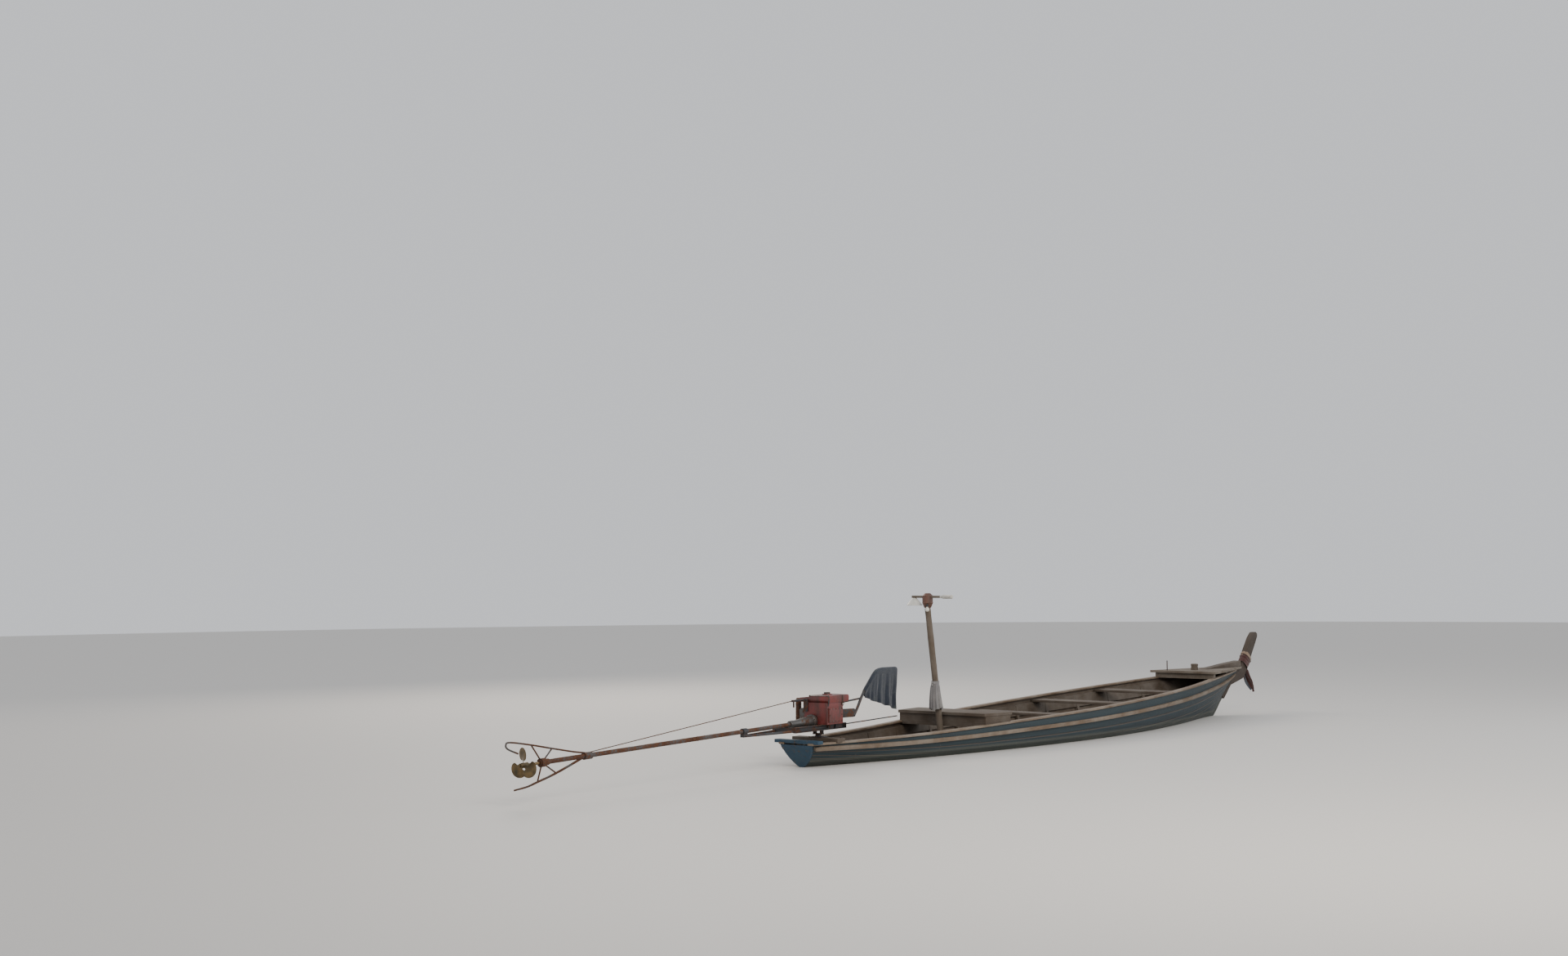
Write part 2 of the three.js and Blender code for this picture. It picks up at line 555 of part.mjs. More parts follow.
// Cloth knotted round the mast
const knotted = cut(
  bar(mastPoint(510).add(v(-30, 0, 0)), mastPoint(880).add(v(-30, 0, 0)), 96, 12, 62),
  bar(mastFoot, mastHead, MAST_RADIUS + GAP, 12, MAST_RADIUS * 0.9 + GAP),
);
piece('mast_cloth', knotted, paint.paleCloth);

// Pivot plate and socket on the motor beam
const pivotX = fromStern(PIVOT_STATION);
const socket = bar(v(pivotX, 0, MOTOR_BEAM_TOP + GAP), v(pivotX, 0, MOTOR_BEAM_TOP + 34), 36, 16);
const socketPlate = box(pivotX - 62, pivotX + 62, -95, 95, MOTOR_BEAM_TOP + GAP, MOTOR_BEAM_TOP + 10);
const socketBore = bar(v(pivotX, 0, MOTOR_BEAM_TOP - 60), v(pivotX, 0, MOTOR_BEAM_TOP + 120), SPINDLE_RADIUS + PIN_PLAY, 16);
piece('pivot_plate', cut(join(socket, socketPlate), socketBore), paint.steel);

// The swivel turns on the pivot, and the motor tilts in the swivel's fork
const swivel = new THREE.Group();
swivel.position.set(pivotX, 0, TILT_HEIGHT);
swivel.rotation.z = REST_STEER;
group.add(swivel);
const FORK_INSIDE = 44;
const forkBase = TILT_HEIGHT - MOTOR_BEAM_TOP - 34 - GAP;
const forkParts = [
  bar(v(0, 0, MOTOR_BEAM_TOP - TILT_HEIGHT - 110), v(0, 0, -forkBase + 2), SPINDLE_RADIUS, 16),
  box(-40, 40, -FORK_INSIDE - 10, FORK_INSIDE + 10, -forkBase, -forkBase + 12),
  ...[-1, 1].map((side) => box(-34, 34, side * (FORK_INSIDE + 5) - 5, side * (FORK_INSIDE + 5) + 5, -forkBase + 2, 18)),
];
const pinBore = bar(v(0, -90, 0), v(0, 90, 0), PIN_RADIUS + PIN_PLAY, 16);
piece('swivel_fork', cut(join(...forkParts), pinBore), paint.steel, swivel);

// Motor bed: two rails, cross members, the tilt pin in its lug, and the
// struts that rise to the tail
const motor = new THREE.Group();
swivel.add(motor);
const tailPoint = (aft, side = 0, up = 0) => v(-aft, side, TAIL_HEIGHT - TILT_HEIGHT - TAIL_SLOPE * aft + up);
const BED_FORE = 330;
const BED_AFT = 660;
const RAIL_WIDTH = 40;
const RAIL_UNDER = -30;
const RAIL_TOP = 34;
const RAIL_WALL = 6;
const STRUT_AFT = 1400;
const STRUT_DROP = 52;
const STRUT_SPREAD = 18;
const channel = (side) => {
  const across = (from, to) => [side * from, side * to].sort((a, b) => a - b);
  const [near, far] = [RAIL_OFFSET - RAIL_WIDTH / 2, RAIL_OFFSET + RAIL_WIDTH / 2];
  return cut(
    box(-BED_AFT, BED_FORE, ...across(near, far), RAIL_UNDER, RAIL_TOP),
    box(-BED_AFT + RAIL_WALL, BED_FORE - RAIL_WALL, ...across(near + RAIL_WALL, far + RAIL_WALL),
      RAIL_UNDER + RAIL_WALL, RAIL_TOP - RAIL_WALL),
  );
};
const bedParts = [
  channel(1),
  channel(-1),
  ...[-BED_AFT, 140, BED_FORE - RAIL_WALL * 2].map((x) => (
    box(x, x + RAIL_WALL * 2, -RAIL_OFFSET, RAIL_OFFSET, RAIL_UNDER + 4, RAIL_TOP - 4)
  )),
  bar(v(0, -RAIL_OFFSET, 0), v(0, RAIL_OFFSET, 0), PIN_RADIUS, 16),
  ...[-1, 1].map((side) => bar(v(-BED_AFT + 20, side * RAIL_OFFSET * 0.9, -10),
    tailPoint(STRUT_AFT, side * STRUT_SPREAD, -STRUT_DROP), 14, 8)),
  bar(tailPoint(STRUT_AFT - 35), tailPoint(STRUT_AFT + 35), TAIL_RADIUS + 12, 16),
  plateXZ([[-35, 20], [35, 20], [35, STRUT_DROP + 12], [-35, STRUT_DROP + 12]].map(([aft, down]) => {
    const place = tailPoint(STRUT_AFT + aft, 0, -down);
    return [place.x, place.z];
  }), -STRUT_SPREAD - 8, STRUT_SPREAD + 8),
];
const tailBore = bar(tailPoint(0), tailPoint(2000), TAIL_RADIUS + GAP, 16);
piece('motor_bed', cut(join(...bedParts), tailBore), paint.steel, motor);

// Engine: a single-cylinder block that lies across the boat. It is a shell of
// castings, open aft to the tail's housing, on feet that stand on the rails.
const ENGINE_AFT = -115;
const ENGINE_FORE = 200;
const ENGINE_STARBOARD = -214;
const ENGINE_PORT = 120;
const ENGINE_FOOT = RAIL_TOP + GAP;
const ENGINE_TOP = 285;
const ENGINE_WALL = 14;
const crankcase = join(
  box(ENGINE_AFT, ENGINE_FORE, ENGINE_STARBOARD, ENGINE_PORT, ENGINE_FOOT, ENGINE_TOP),
  ...[ENGINE_AFT + 30, ENGINE_FORE - 80].map((x) => box(x, x + 50, ENGINE_STARBOARD + 20, RAIL_OFFSET + 20, ENGINE_FOOT, ENGINE_FOOT + 16)),
  box(ENGINE_AFT + 26, ENGINE_FORE - 26, ENGINE_STARBOARD - 14, ENGINE_STARBOARD + 4, ENGINE_FOOT + 24, ENGINE_TOP - 60),
);
const crankSpace = box(ENGINE_AFT + ENGINE_WALL, ENGINE_FORE - ENGINE_WALL, ENGINE_STARBOARD + ENGINE_WALL,
  ENGINE_PORT - ENGINE_WALL, ENGINE_FOOT + ENGINE_WALL, ENGINE_TOP - ENGINE_WALL);
const crankMouth = bar(tailPoint(-ENGINE_AFT - 40), tailPoint(-ENGINE_AFT + 20), 60, 20);
piece('engine_block', cut(crankcase, crankSpace, crankMouth), paint.engine, motor);

// Cylinder head on the port side, finned, with the rocker cover at its end
const HEAD_END = 262;
const HEAD_FINS = [66, 94, 122, 150, 178, 206];
const head = join(
  box(ENGINE_AFT + 84, ENGINE_FORE - 84, ENGINE_PORT + GAP, 195, 44, 225),
  box(ENGINE_AFT + 92, ENGINE_FORE - 104, 190, HEAD_END - 16, 58, 208),
  box(ENGINE_AFT + 98, ENGINE_FORE - 118, 240, HEAD_END, 74, 192),
);
const finGaps = HEAD_FINS.flatMap((z) => [[ENGINE_AFT + 70, ENGINE_AFT + 96], [ENGINE_FORE - 96, ENGINE_FORE - 70]].map(([x0, x1]) => (
  box(x0, x1, ENGINE_PORT + 12, 184, z - 7, z + 7)
)));
piece('cylinder_head', cut(head, ...finGaps), paint.steel, motor);

// Water hopper, open at the top, over the block and the cylinder
const HOPPER_TOP = 335;
const HOPPER_WALL = 7;
const HOPPER_STARBOARD = 64;
const HOPPER_PORT = 215;
const hopper = join(
  box(ENGINE_AFT + 40, ENGINE_FORE - 40, HOPPER_STARBOARD, HOPPER_PORT, ENGINE_TOP + GAP, HOPPER_TOP),
  box(ENGINE_AFT + 80, ENGINE_FORE - 100, ENGINE_PORT + 2, 192, 225 + GAP, ENGINE_TOP + 5),
);
const hopperSpace = box(ENGINE_AFT + 40 + HOPPER_WALL, ENGINE_FORE - 40 - HOPPER_WALL, HOPPER_STARBOARD + HOPPER_WALL,
  HOPPER_PORT - HOPPER_WALL, ENGINE_TOP + 10, HOPPER_TOP + 20);
piece('engine_hopper', cut(hopper, hopperSpace), paint.engine, motor);

// Fuel tank, which stands out over the fore end, with its filler and cap, and
// an outlet for the pipe in its underside
const TANK_STARBOARD = -222;
const TANK_PORT = 56;
const TANK_WALL = 4;
const tankOutline = (inset) => [
  [-95, 0], [285, 0], [311, 20], [315, 46], [309, 72], [290, 83], [-70, 83], [-98, 72], [-110, 50], [-112, 26],
].map(([x, z]) => [lerp(x, 100, inset / 200), lerp(z, 42, inset / 42) + ENGINE_TOP + GAP]);
const fillerAt = (z) => v(62, -86, ENGINE_TOP + z);
const tank = join(
  plateXZ(tankOutline(0), TANK_STARBOARD, TANK_PORT),
  bar(fillerAt(81), fillerAt(97), 62, 20, 56),
  bar(fillerAt(96), fillerAt(115), 38, 16),
);
const tankOutlet = bar(v(250, -190, ENGINE_TOP - 5), v(250, -190, ENGINE_TOP + 20), 5, 8);
piece('fuel_tank', cut(tank, plateXZ(tankOutline(TANK_WALL), TANK_STARBOARD + TANK_WALL, TANK_PORT - TANK_WALL), tankOutlet),
  paint.engine, motor);

// Silencer: an upright can on a branch from the head, open at its top
const SILENCER_X = 20;
const SILENCER_Y = HEAD_END + 40;
const silencerAt = (z) => v(SILENCER_X, SILENCER_Y, z);
const silencer = cut(
  join(
    bar(silencerAt(40), silencerAt(300), 34, 16),
    bar(silencerAt(299), silencerAt(322), 34, 16, 22),
    bar(v(SILENCER_X, HEAD_END + GAP, 150), v(SILENCER_X, SILENCER_Y - 31, 150), 18, 12),
  ),
  bar(silencerAt(46), silencerAt(296), 28, 16),
  bar(silencerAt(290), silencerAt(330), 17, 16),
);
piece('silencer', silencer, paint.steel, motor);

// Starting dog on the engine's fore end, in the boss of its gear cover
const DOG_Y = -44;
const dogAt = (x) => v(ENGINE_FORE + x, DOG_Y, 144);
piece('starting_dog', join(
  bar(dogAt(GAP), dogAt(22), 62, 20, 56),
  bar(dogAt(21), dogAt(78), 47, 18, 42),
  bar(dogAt(77), dogAt(112), 28, 14),
  bar(dogAt(111), dogAt(150), 19, 6),
), paint.steel, motor);

// Housing that carries the tail on the after end of the engine
const housing = cut(
  join(
    bar(tailPoint(-ENGINE_AFT + 3), tailPoint(-ENGINE_AFT + 40), 78, 20),
    bar(tailPoint(150), tailPoint(430), 66, 20, 40),
    bar(tailPoint(425), tailPoint(560), 40, 16),
  ),
  bar(tailPoint(300), tailPoint(900), TAIL_RADIUS + GAP, 16),
  bar(tailPoint(50), tailPoint(250), 52, 16),
);
piece('tail_housing', housing, paint.steel, motor);

// Tail: a long tube with the bearing at its end, open all through for the shaft
const bearing = bar(tailPoint(BEARING_AFT - 130), tailPoint(BEARING_AFT), TAIL_RADIUS + 9, 16);
const tube = bar(tailPoint(300 + GAP), tailPoint(BEARING_AFT), TAIL_RADIUS, 16);
const shaftWay = bar(tailPoint(200), tailPoint(BEARING_AFT + 60), SHAFT_RADIUS + PIN_PLAY, 16);
piece('tail_tube', cut(join(tube, bearing), shaftWay), paint.steel, motor);

// Stay from the engine to the far end of the tube, and the bracket it pulls on
const STAY_FORE = v(-360.75, 110, 312);
const STAY_COLLAR = 3895;
const stayEnd = tailPoint(STAY_COLLAR - 0.7, 0, TAIL_RADIUS + 9);
piece('stay_bracket', join(
  box(-360, ENGINE_AFT - GAP, 98, 122, 300, 324),
  box(ENGINE_AFT - 12, ENGINE_AFT - GAP, 60, 119, 180, 324),
  bar(v(-330, 110, 312), v(-330, 110, 235), 10, 8),
), paint.steel, motor);
piece('tail_stay', bar(STAY_FORE, stayEnd, 5, 8), paint.steel, motor);

// Guard round the propeller: a hooked rod above, a skeg below, braces between
const guardRod = pipe([
  tailPoint(3960, 0, TAIL_RADIUS + 4), tailPoint(4150, 0, 60), v(-4458, 0, 80), v(-4755, 0, 136),
  v(-5040, 0, 180), v(-5100, 0, 160), v(-5070, 0, 118), v(-4932, 0, 64),
], 9, 8, 40);
const skeg = plateXZ([
  [-3960, 0], [-4034, -38], [-4400, -156], [-4664, -223], [-4811, -258], [-4985, -278], [-4990, -294],
  [-4811, -278], [-4660, -246], [-4400, -182], [-4030, -66], [-3940, -20],
], -5, 5);
const collar = bar(tailPoint(STAY_COLLAR), tailPoint(4005), TAIL_RADIUS + 14, 14);
const braces = [
  [tailPoint(4600), v(-4750, 0, 133)], [tailPoint(4600), v(-4458, 0, 82)],
  [tailPoint(4600), v(-4664, 0, -232)], [tailPoint(4600), v(-4400, 0, -168)],
].map(([a, b]) => bar(a, b, 8, 8));
const bearingCollar = bar(tailPoint(4570), tailPoint(4630), TAIL_RADIUS + 20, 14);
piece('propeller_guard', cut(
  join(guardRod, skeg, collar, bearingCollar, ...braces),
  bar(tailPoint(3700), tailPoint(4500), TAIL_RADIUS + GAP, 16),
  bar(tailPoint(4480), tailPoint(4700), TAIL_RADIUS + 9 + GAP, 16),
), paint.steel, motor);

// Tiller on its bracket on the engine's fore face, with its brace and the
// cloth that is hung over it
const tillerPath = [
  [512, 98], [545, 140], [605, 215], [670, 310], [760, 408], [860, 503], [940, 578], [985, 607], [1040, 622], [1100, 627],
  [1200, 627], [1385, 624],
].map(([x, z]) => v(x, -150, z));
const tillerBracket = join(
  box(ENGINE_FORE + GAP, ENGINE_FORE + 12, -198, -112, 84, 200),
  plateXZ([[ENGINE_FORE + 10, 92], [490, 86], [530, 96], [548, 140], [520, 186], [ENGINE_FORE + 10, 196]], -158, -142),
);
piece('tiller', join(tillerBracket, pipe(tillerPath, 17, 12, 40)), paint.steel, motor);
const tillerBrace = bar(v(ENGINE_FORE + 4 * GAP, -150, 268), v(660, -150, 299), 11, 10);
piece('tiller_brace', cut(tillerBrace, pipe(tillerPath, 17 + GAP, 12, 40)), paint.steel, motor);
const clothOutline = [[720, 350], [985, 607], [1050, 627], [1408, 624], [1412, 125], [1170, 190], [740, 300]];
const clothFold = pipe([v(735, -150, 383), v(860, -150, 503), v(985, -150, 607), v(1080, -150, 627), v(1404, -150, 624)], 30, 10, 24);
const tillerEnd = tillerPath.at(-1);
const tillerRoom = join(
  pipe(tillerPath, 17 + 3 * GAP, 12, 40), bar(tillerEnd.clone().add(v(-6, 0, 0)), tillerEnd.clone().add(v(1, 0, 0)), 19, 12),
);
piece('tiller_cloth', cut(join(plateXZ(clothOutline, -150 - 14, -150 + 14), clothFold), tillerRoom), paint.cloth, motor);
piece('tie_rod', bar(v(BED_FORE + GAP, -60, 0), v(1560, -60, 30), 7, 8), paint.steel, motor);

// Propeller: three blades on a hub, with its shaft in the bearing
const propeller = new THREE.Group();
propeller.position.copy(tailPoint(PROPELLER_AFT));
propeller.rotation.y = -Math.atan(TAIL_SLOPE);
motor.add(propeller);
const BLADE_OUTLINE = [
  // share of the radius, chord
  [0.15, 36], [0.26, 46], [0.37, 106], [0.51, 152], [0.66, 168], [0.81, 150], [0.93, 100], [1, 34],
];
function blade(turn) {
  const rows = BLADE_OUTLINE.map(([share, chord]) => {
    const radius = share * PROPELLER_RADIUS;
    const pitch = Math.atan(52 / (radius + 12));
    return steps(-0.5, 0.5, 4).map((c) => ({ radius, x: c * chord * Math.sin(pitch), y: c * chord * Math.cos(pitch) }));
  });
  const sheet = (depth) => rows.map((row) => row.map(({ radius, x, y }) => {
    const spread = Math.sqrt(Math.max(radius * radius - y * y, 0));
    return v(x + depth, y, spread).applyAxisAngle(v(1, 0, 0), turn);
  }));
  return strip(sheet(-3), sheet(3));
}
const BLADE_TURN = THREE.MathUtils.degToRad(-5);
const SHAFT_INSIDE = 110;
const blades = [0, 1, 2].map((i) => blade(BLADE_TURN + (i * 2 * Math.PI) / 3));
const hub = bar(v(52, 0, 0), v(-50, 0, 0), 30, 16, 24);
const nut = bar(v(-45, 0, 0), v(-75, 0, 0), 17, 6);
const shaft = bar(v(PROPELLER_AFT - BEARING_AFT + SHAFT_INSIDE, 0, 0), v(40, 0, 0), SHAFT_RADIUS, 12);
piece('propeller', join(hub, nut, shaft, ...blades), paint.bronze, propeller);

export default group;
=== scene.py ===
"""Longtail boat: a narrow planked hull afloat, with a motor on a swivel at its
stern and a propeller on a long tail that is parked clear of the water.
Metres. +X is forward, +Y is port, +Z is up. The origin is midships on the
waterline, and the floor lies at the waterline."""

from math import atan, copysign, cos, exp, hypot, pi, radians, sin, sqrt, tau

import bmesh
import bpy
from mathutils import Matrix, Vector


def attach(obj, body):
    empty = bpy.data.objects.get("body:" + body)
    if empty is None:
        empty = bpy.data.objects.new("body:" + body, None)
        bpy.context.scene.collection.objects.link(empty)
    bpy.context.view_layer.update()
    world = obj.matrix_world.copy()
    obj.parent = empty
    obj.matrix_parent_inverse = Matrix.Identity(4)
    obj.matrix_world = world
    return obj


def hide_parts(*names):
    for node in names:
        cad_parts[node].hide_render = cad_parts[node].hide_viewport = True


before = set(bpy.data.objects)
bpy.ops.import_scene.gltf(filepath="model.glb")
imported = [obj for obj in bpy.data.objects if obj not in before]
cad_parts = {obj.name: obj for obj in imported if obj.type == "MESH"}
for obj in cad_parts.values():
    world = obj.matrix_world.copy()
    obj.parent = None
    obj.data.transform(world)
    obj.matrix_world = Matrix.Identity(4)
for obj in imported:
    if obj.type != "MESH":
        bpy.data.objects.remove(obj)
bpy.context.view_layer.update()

# Camera
# It stands on the beach, about 23 m from the boat's stern and to starboard of
# it, a little higher than an eye, with a lens of 45 mm on a full frame.
camera_place = Vector((-22.454, -14.670, 2.257))
look_flat = Vector((0.7618, 0.6478, 0)).normalized()
pitch_up = radians(2.753)
roll_clockwise = radians(0.425)
look = look_flat * cos(pitch_up) + Vector((0, 0, sin(pitch_up)))
right_level = look.cross(Vector((0, 0, 1))).normalized()
up_level = right_level.cross(look)
right = right_level * cos(roll_clockwise) - up_level * sin(roll_clockwise)
up = right.cross(look)
camera = bpy.data.objects.new("camera", bpy.data.cameras.new("camera"))
camera.data.sensor_width = 36.0
camera.data.lens = 45.0
camera.data.clip_end = 400.0
camera.matrix_world = Matrix((
    (right.x, up.x, -look.x, camera_place.x),
    (right.y, up.y, -look.y, camera_place.y),
    (right.z, up.z, -look.z, camera_place.z),
    (0, 0, 0, 1),
))
bpy.context.scene.collection.objects.link(camera)
bpy.context.scene.camera = camera

# Hull lines
# The boat is built on three lines each side: the keel line, the turn that
# steers the planks' curve, and the top edge. Sections run from stern to stem.
STERN_X = -4.9
PLANK = 0.024
KEEL_HALF = 0.030
SECTIONS = [
    # keel s, keel z, turn s, turn y, turn z, top s, top y, top z
    (0.0, 0.0, -0.03, 0.18, 0.095, -0.095, 0.238, 0.262),
    (0.9, -0.095, 0.88, 0.39, -0.01, 0.86, 0.43, 0.271),
    (2.0, -0.16, 2.0, 0.64, -0.095, 2.0, 0.598, 0.29),
    (3.4, -0.2, 3.4, 0.85, -0.16, 3.4, 0.765, 0.343),
    (5.0, -0.215, 5.0, 0.96, -0.185, 5.0, 0.868, 0.4),
    (6.5, -0.208, 6.5, 0.88, -0.165, 6.52, 0.838, 0.467),
    (7.9, -0.178, 7.93, 0.6, -0.11, 7.98, 0.69, 0.541),
    (9.0, -0.105, 9.08, 0.3, 0.01, 9.18, 0.462, 0.612),
    (9.7, -0.005, 9.82, 0.13, 0.23, 10.04, 0.235, 0.652),
    (10.1, 0.3, 10.35, 0.05, 0.484, 10.6, 0.046, 0.668),
]
KEEL_LINE = [Vector((s[0] + STERN_X, 0, s[1])) for s in SECTIONS]
TURN_LINE = [Vector((s[2] + STERN_X, s[3], s[4])) for s in SECTIONS]
TOP_LINE = [Vector((s[5] + STERN_X, s[6], s[7])) for s in SECTIONS]


def on_line(points, u):
    """The point of a smooth curve through the points, u from 0 to 1."""
    place = min(max(u, 0.0), 1.0) * (len(points) - 1)
    i = min(int(place), len(points) - 2)
    w = place - i
    p1, p2 = points[i], points[i + 1]
    p0 = points[i - 1] if i > 0 else p1 * 2 - p2
    p3 = points[i + 2] if i + 2 < len(points) else p2 * 2 - p1
    t0, t1 = (p2 - p0) * 0.5, (p3 - p1) * 0.5
    return (p1 * (2 * w**3 - 3 * w**2 + 1) + t0 * (w**3 - 2 * w**2 + w)
            + p2 * (-2 * w**3 + 3 * w**2) + t1 * (w**3 - w**2))


def hull_point(u, t, depth=0.0):
    """A point of the port planking, a depth inside its outer face.

    u runs from stern to stem, and t from the keel to the top edge.
    """
    keel = on_line(KEEL_LINE, u)
    keel.y = KEEL_HALF
    turn, top = on_line(TURN_LINE, u), on_line(TOP_LINE, u)
    place = keel * (1 - t) ** 2 + turn * (2 * t * (1 - t)) + top * t * t
    along = (turn - keel) * (1 - t) + (top - turn) * t
    size = hypot(along.y, along.z)
    if t >= 1:
        place.y -= depth * size / along.z
    else:
        place.y = max(place.y - depth * along.z / size, 0.004)
        place.z += depth * along.y / size
    return place


def step_at(line, x):
    """The step along the hull at which a line reaches x."""
    low, high = 0.0, 1.0
    for _ in range(30):
        mid = (low + high) / 2
        low, high = (mid, high) if on_line(line, mid).x < x else (low, mid)
    return low


# Floor and light
# A pale floor at the waterline, open where the hull goes through it, and
# three large soft lights. None of it is part of the boat.
FLOOR_REACH = 60.0
RING_STEPS, GIRTH_STEPS = 96, 60


def waterline_ring():
    """The hull's outline at the waterline, halfway through its planks."""
    port = []
    for i in range(RING_STEPS + 1):
        column = [hull_point(i / RING_STEPS, k / GIRTH_STEPS, PLANK / 2) for k in range(GIRTH_STEPS + 1)]
        crossing = [(a, b) for a, b in zip(column, column[1:]) if a.z <= 0 < b.z]
        if crossing:
            a, b = crossing[0]
            port.append(a.lerp(b, -a.z / (b.z - a.z)))
    return [Vector((port[0].x - 0.01, 0, 0))] + port + [Vector((port[-1].x + 0.03, 0, 0))]


floor_mesh = bmesh.new()
port_ring = waterline_ring()
for side in (1, -1):
    near = [floor_mesh.verts.new((p.x, side * p.y, 0)) for p in port_ring]
    count = len(port_ring) - 1
    far = []
    for i in range(count + 1):
        angle = pi * (1 - i / count)
        far.append(floor_mesh.verts.new((FLOOR_REACH * cos(angle), side * FLOOR_REACH * sin(angle), 0)))
    for i in range(count):
        quad = (near[i], near[i + 1], far[i + 1], far[i])
        floor_mesh.faces.new(quad if side == -1 else tuple(reversed(quad)))
bmesh.ops.remove_doubles(floor_mesh, verts=floor_mesh.verts, dist=1e-5)
bmesh.ops.recalc_face_normals(floor_mesh, faces=floor_mesh.faces)
floor_data = bpy.data.meshes.new("floor")
floor_mesh.to_mesh(floor_data)
floor_mesh.free()
floor = bpy.data.objects.new("floor", floor_data)
bpy.context.scene.collection.objects.link(floor)
floor_paint = bpy.data.materials.new("floor_paint")
floor_paint.use_nodes = True
floor_shader = floor_paint.node_tree.nodes["Principled BSDF"]
floor_shader.inputs["Base Color"].default_value = (0.62, 0.60, 0.57, 1)
floor_shader.inputs["Roughness"].default_value = 0.7
floor.data.materials.append(floor_paint)

world = bpy.data.worlds.new("studio")
world.use_nodes = True
world.node_tree.nodes["Background"].inputs["Color"].default_value = (0.92, 0.94, 0.98, 1)
world.node_tree.nodes["Background"].inputs["Strength"].default_value = 0.82
bpy.context.scene.world = world
STUDIO_LIGHTS = [
    # name, place, size, power, colour
    ("key_light", (-9, -11, 9), 7, 1150, (1.0, 0.93, 0.84)),
    ("fill_light", (6, -12, 7), 9, 450, (0.9, 0.95, 1.0)),
    ("back_light", (3, 12, 9), 8, 850, (1.0, 0.9, 0.78)),
]
for name, place, size, power, colour in STUDIO_LIGHTS:
    light = bpy.data.objects.new(name, bpy.data.lights.new(name, "AREA"))
    light.data.shape = "DISK"
    light.data.size = size
    light.data.energy = power
    light.data.color = colour
    light.location = place
    light.rotation_euler = (-Vector(place)).to_track_quat("-Z", "Y").to_euler()
    bpy.context.scene.collection.objects.link(light)

# Planking
# Long planks of dark hardwood, laid edge to edge from the keel to the top
# edge, painted a dark blue-green that has gone chalky and is worn through at
# the seams. They're nailed to the frames and payed with putty at the seams.
STRAKES = [0.0, 0.17, 0.34, 0.5, 0.63, 0.76, 0.88, 1.0]
SEAM_HALF = 0.0035
SEAM_DEPTH = 0.0035
PLANK_STEPS = 5
PLANK_ROWS = 144


def new_object(name, bm, material, smooth_under):
    """A finished piece from a bmesh: its place is in its mesh, and its sharp edges stay sharp."""
    bm.normal_update()
    data = bpy.data.meshes.new(name)
    for edge in bm.edges:
        edge.smooth = len(edge.link_faces) == 2 and edge.calc_face_angle(0) < smooth_under
    for face in bm.faces:
        face.smooth = True
    bm.to_mesh(data)
    bm.free()
    piece = bpy.data.objects.new(name, data)
    bpy.context.scene.collection.objects.link(piece)
    piece.data.materials.append(material)
    return piece


def belongs(piece, body, nodes=()):
    """Hangs a piece on the body that carries it, and hides the nodes that it stands for."""
    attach(piece, body)
    if nodes:
        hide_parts(*nodes)
    return piece


def add_node(tree, kind, inputs, **settings):
    """A node with its settings, fed by values or by the outputs of other nodes."""
    made = tree.nodes.new(kind)
    for key, value in settings.items():
        setattr(made, key, value)
    for key, value in dict(inputs).items():
        feed(tree, made.inputs[key], value)
    return made


def feed(tree, socket, value):
    """Joins an output to a socket, or sets the socket to a value."""
    if isinstance(value, bpy.types.NodeSocket):
        tree.links.new(value, socket)
    else:
        socket.default_value = (*value, 1) if socket.type == "RGBA" else value


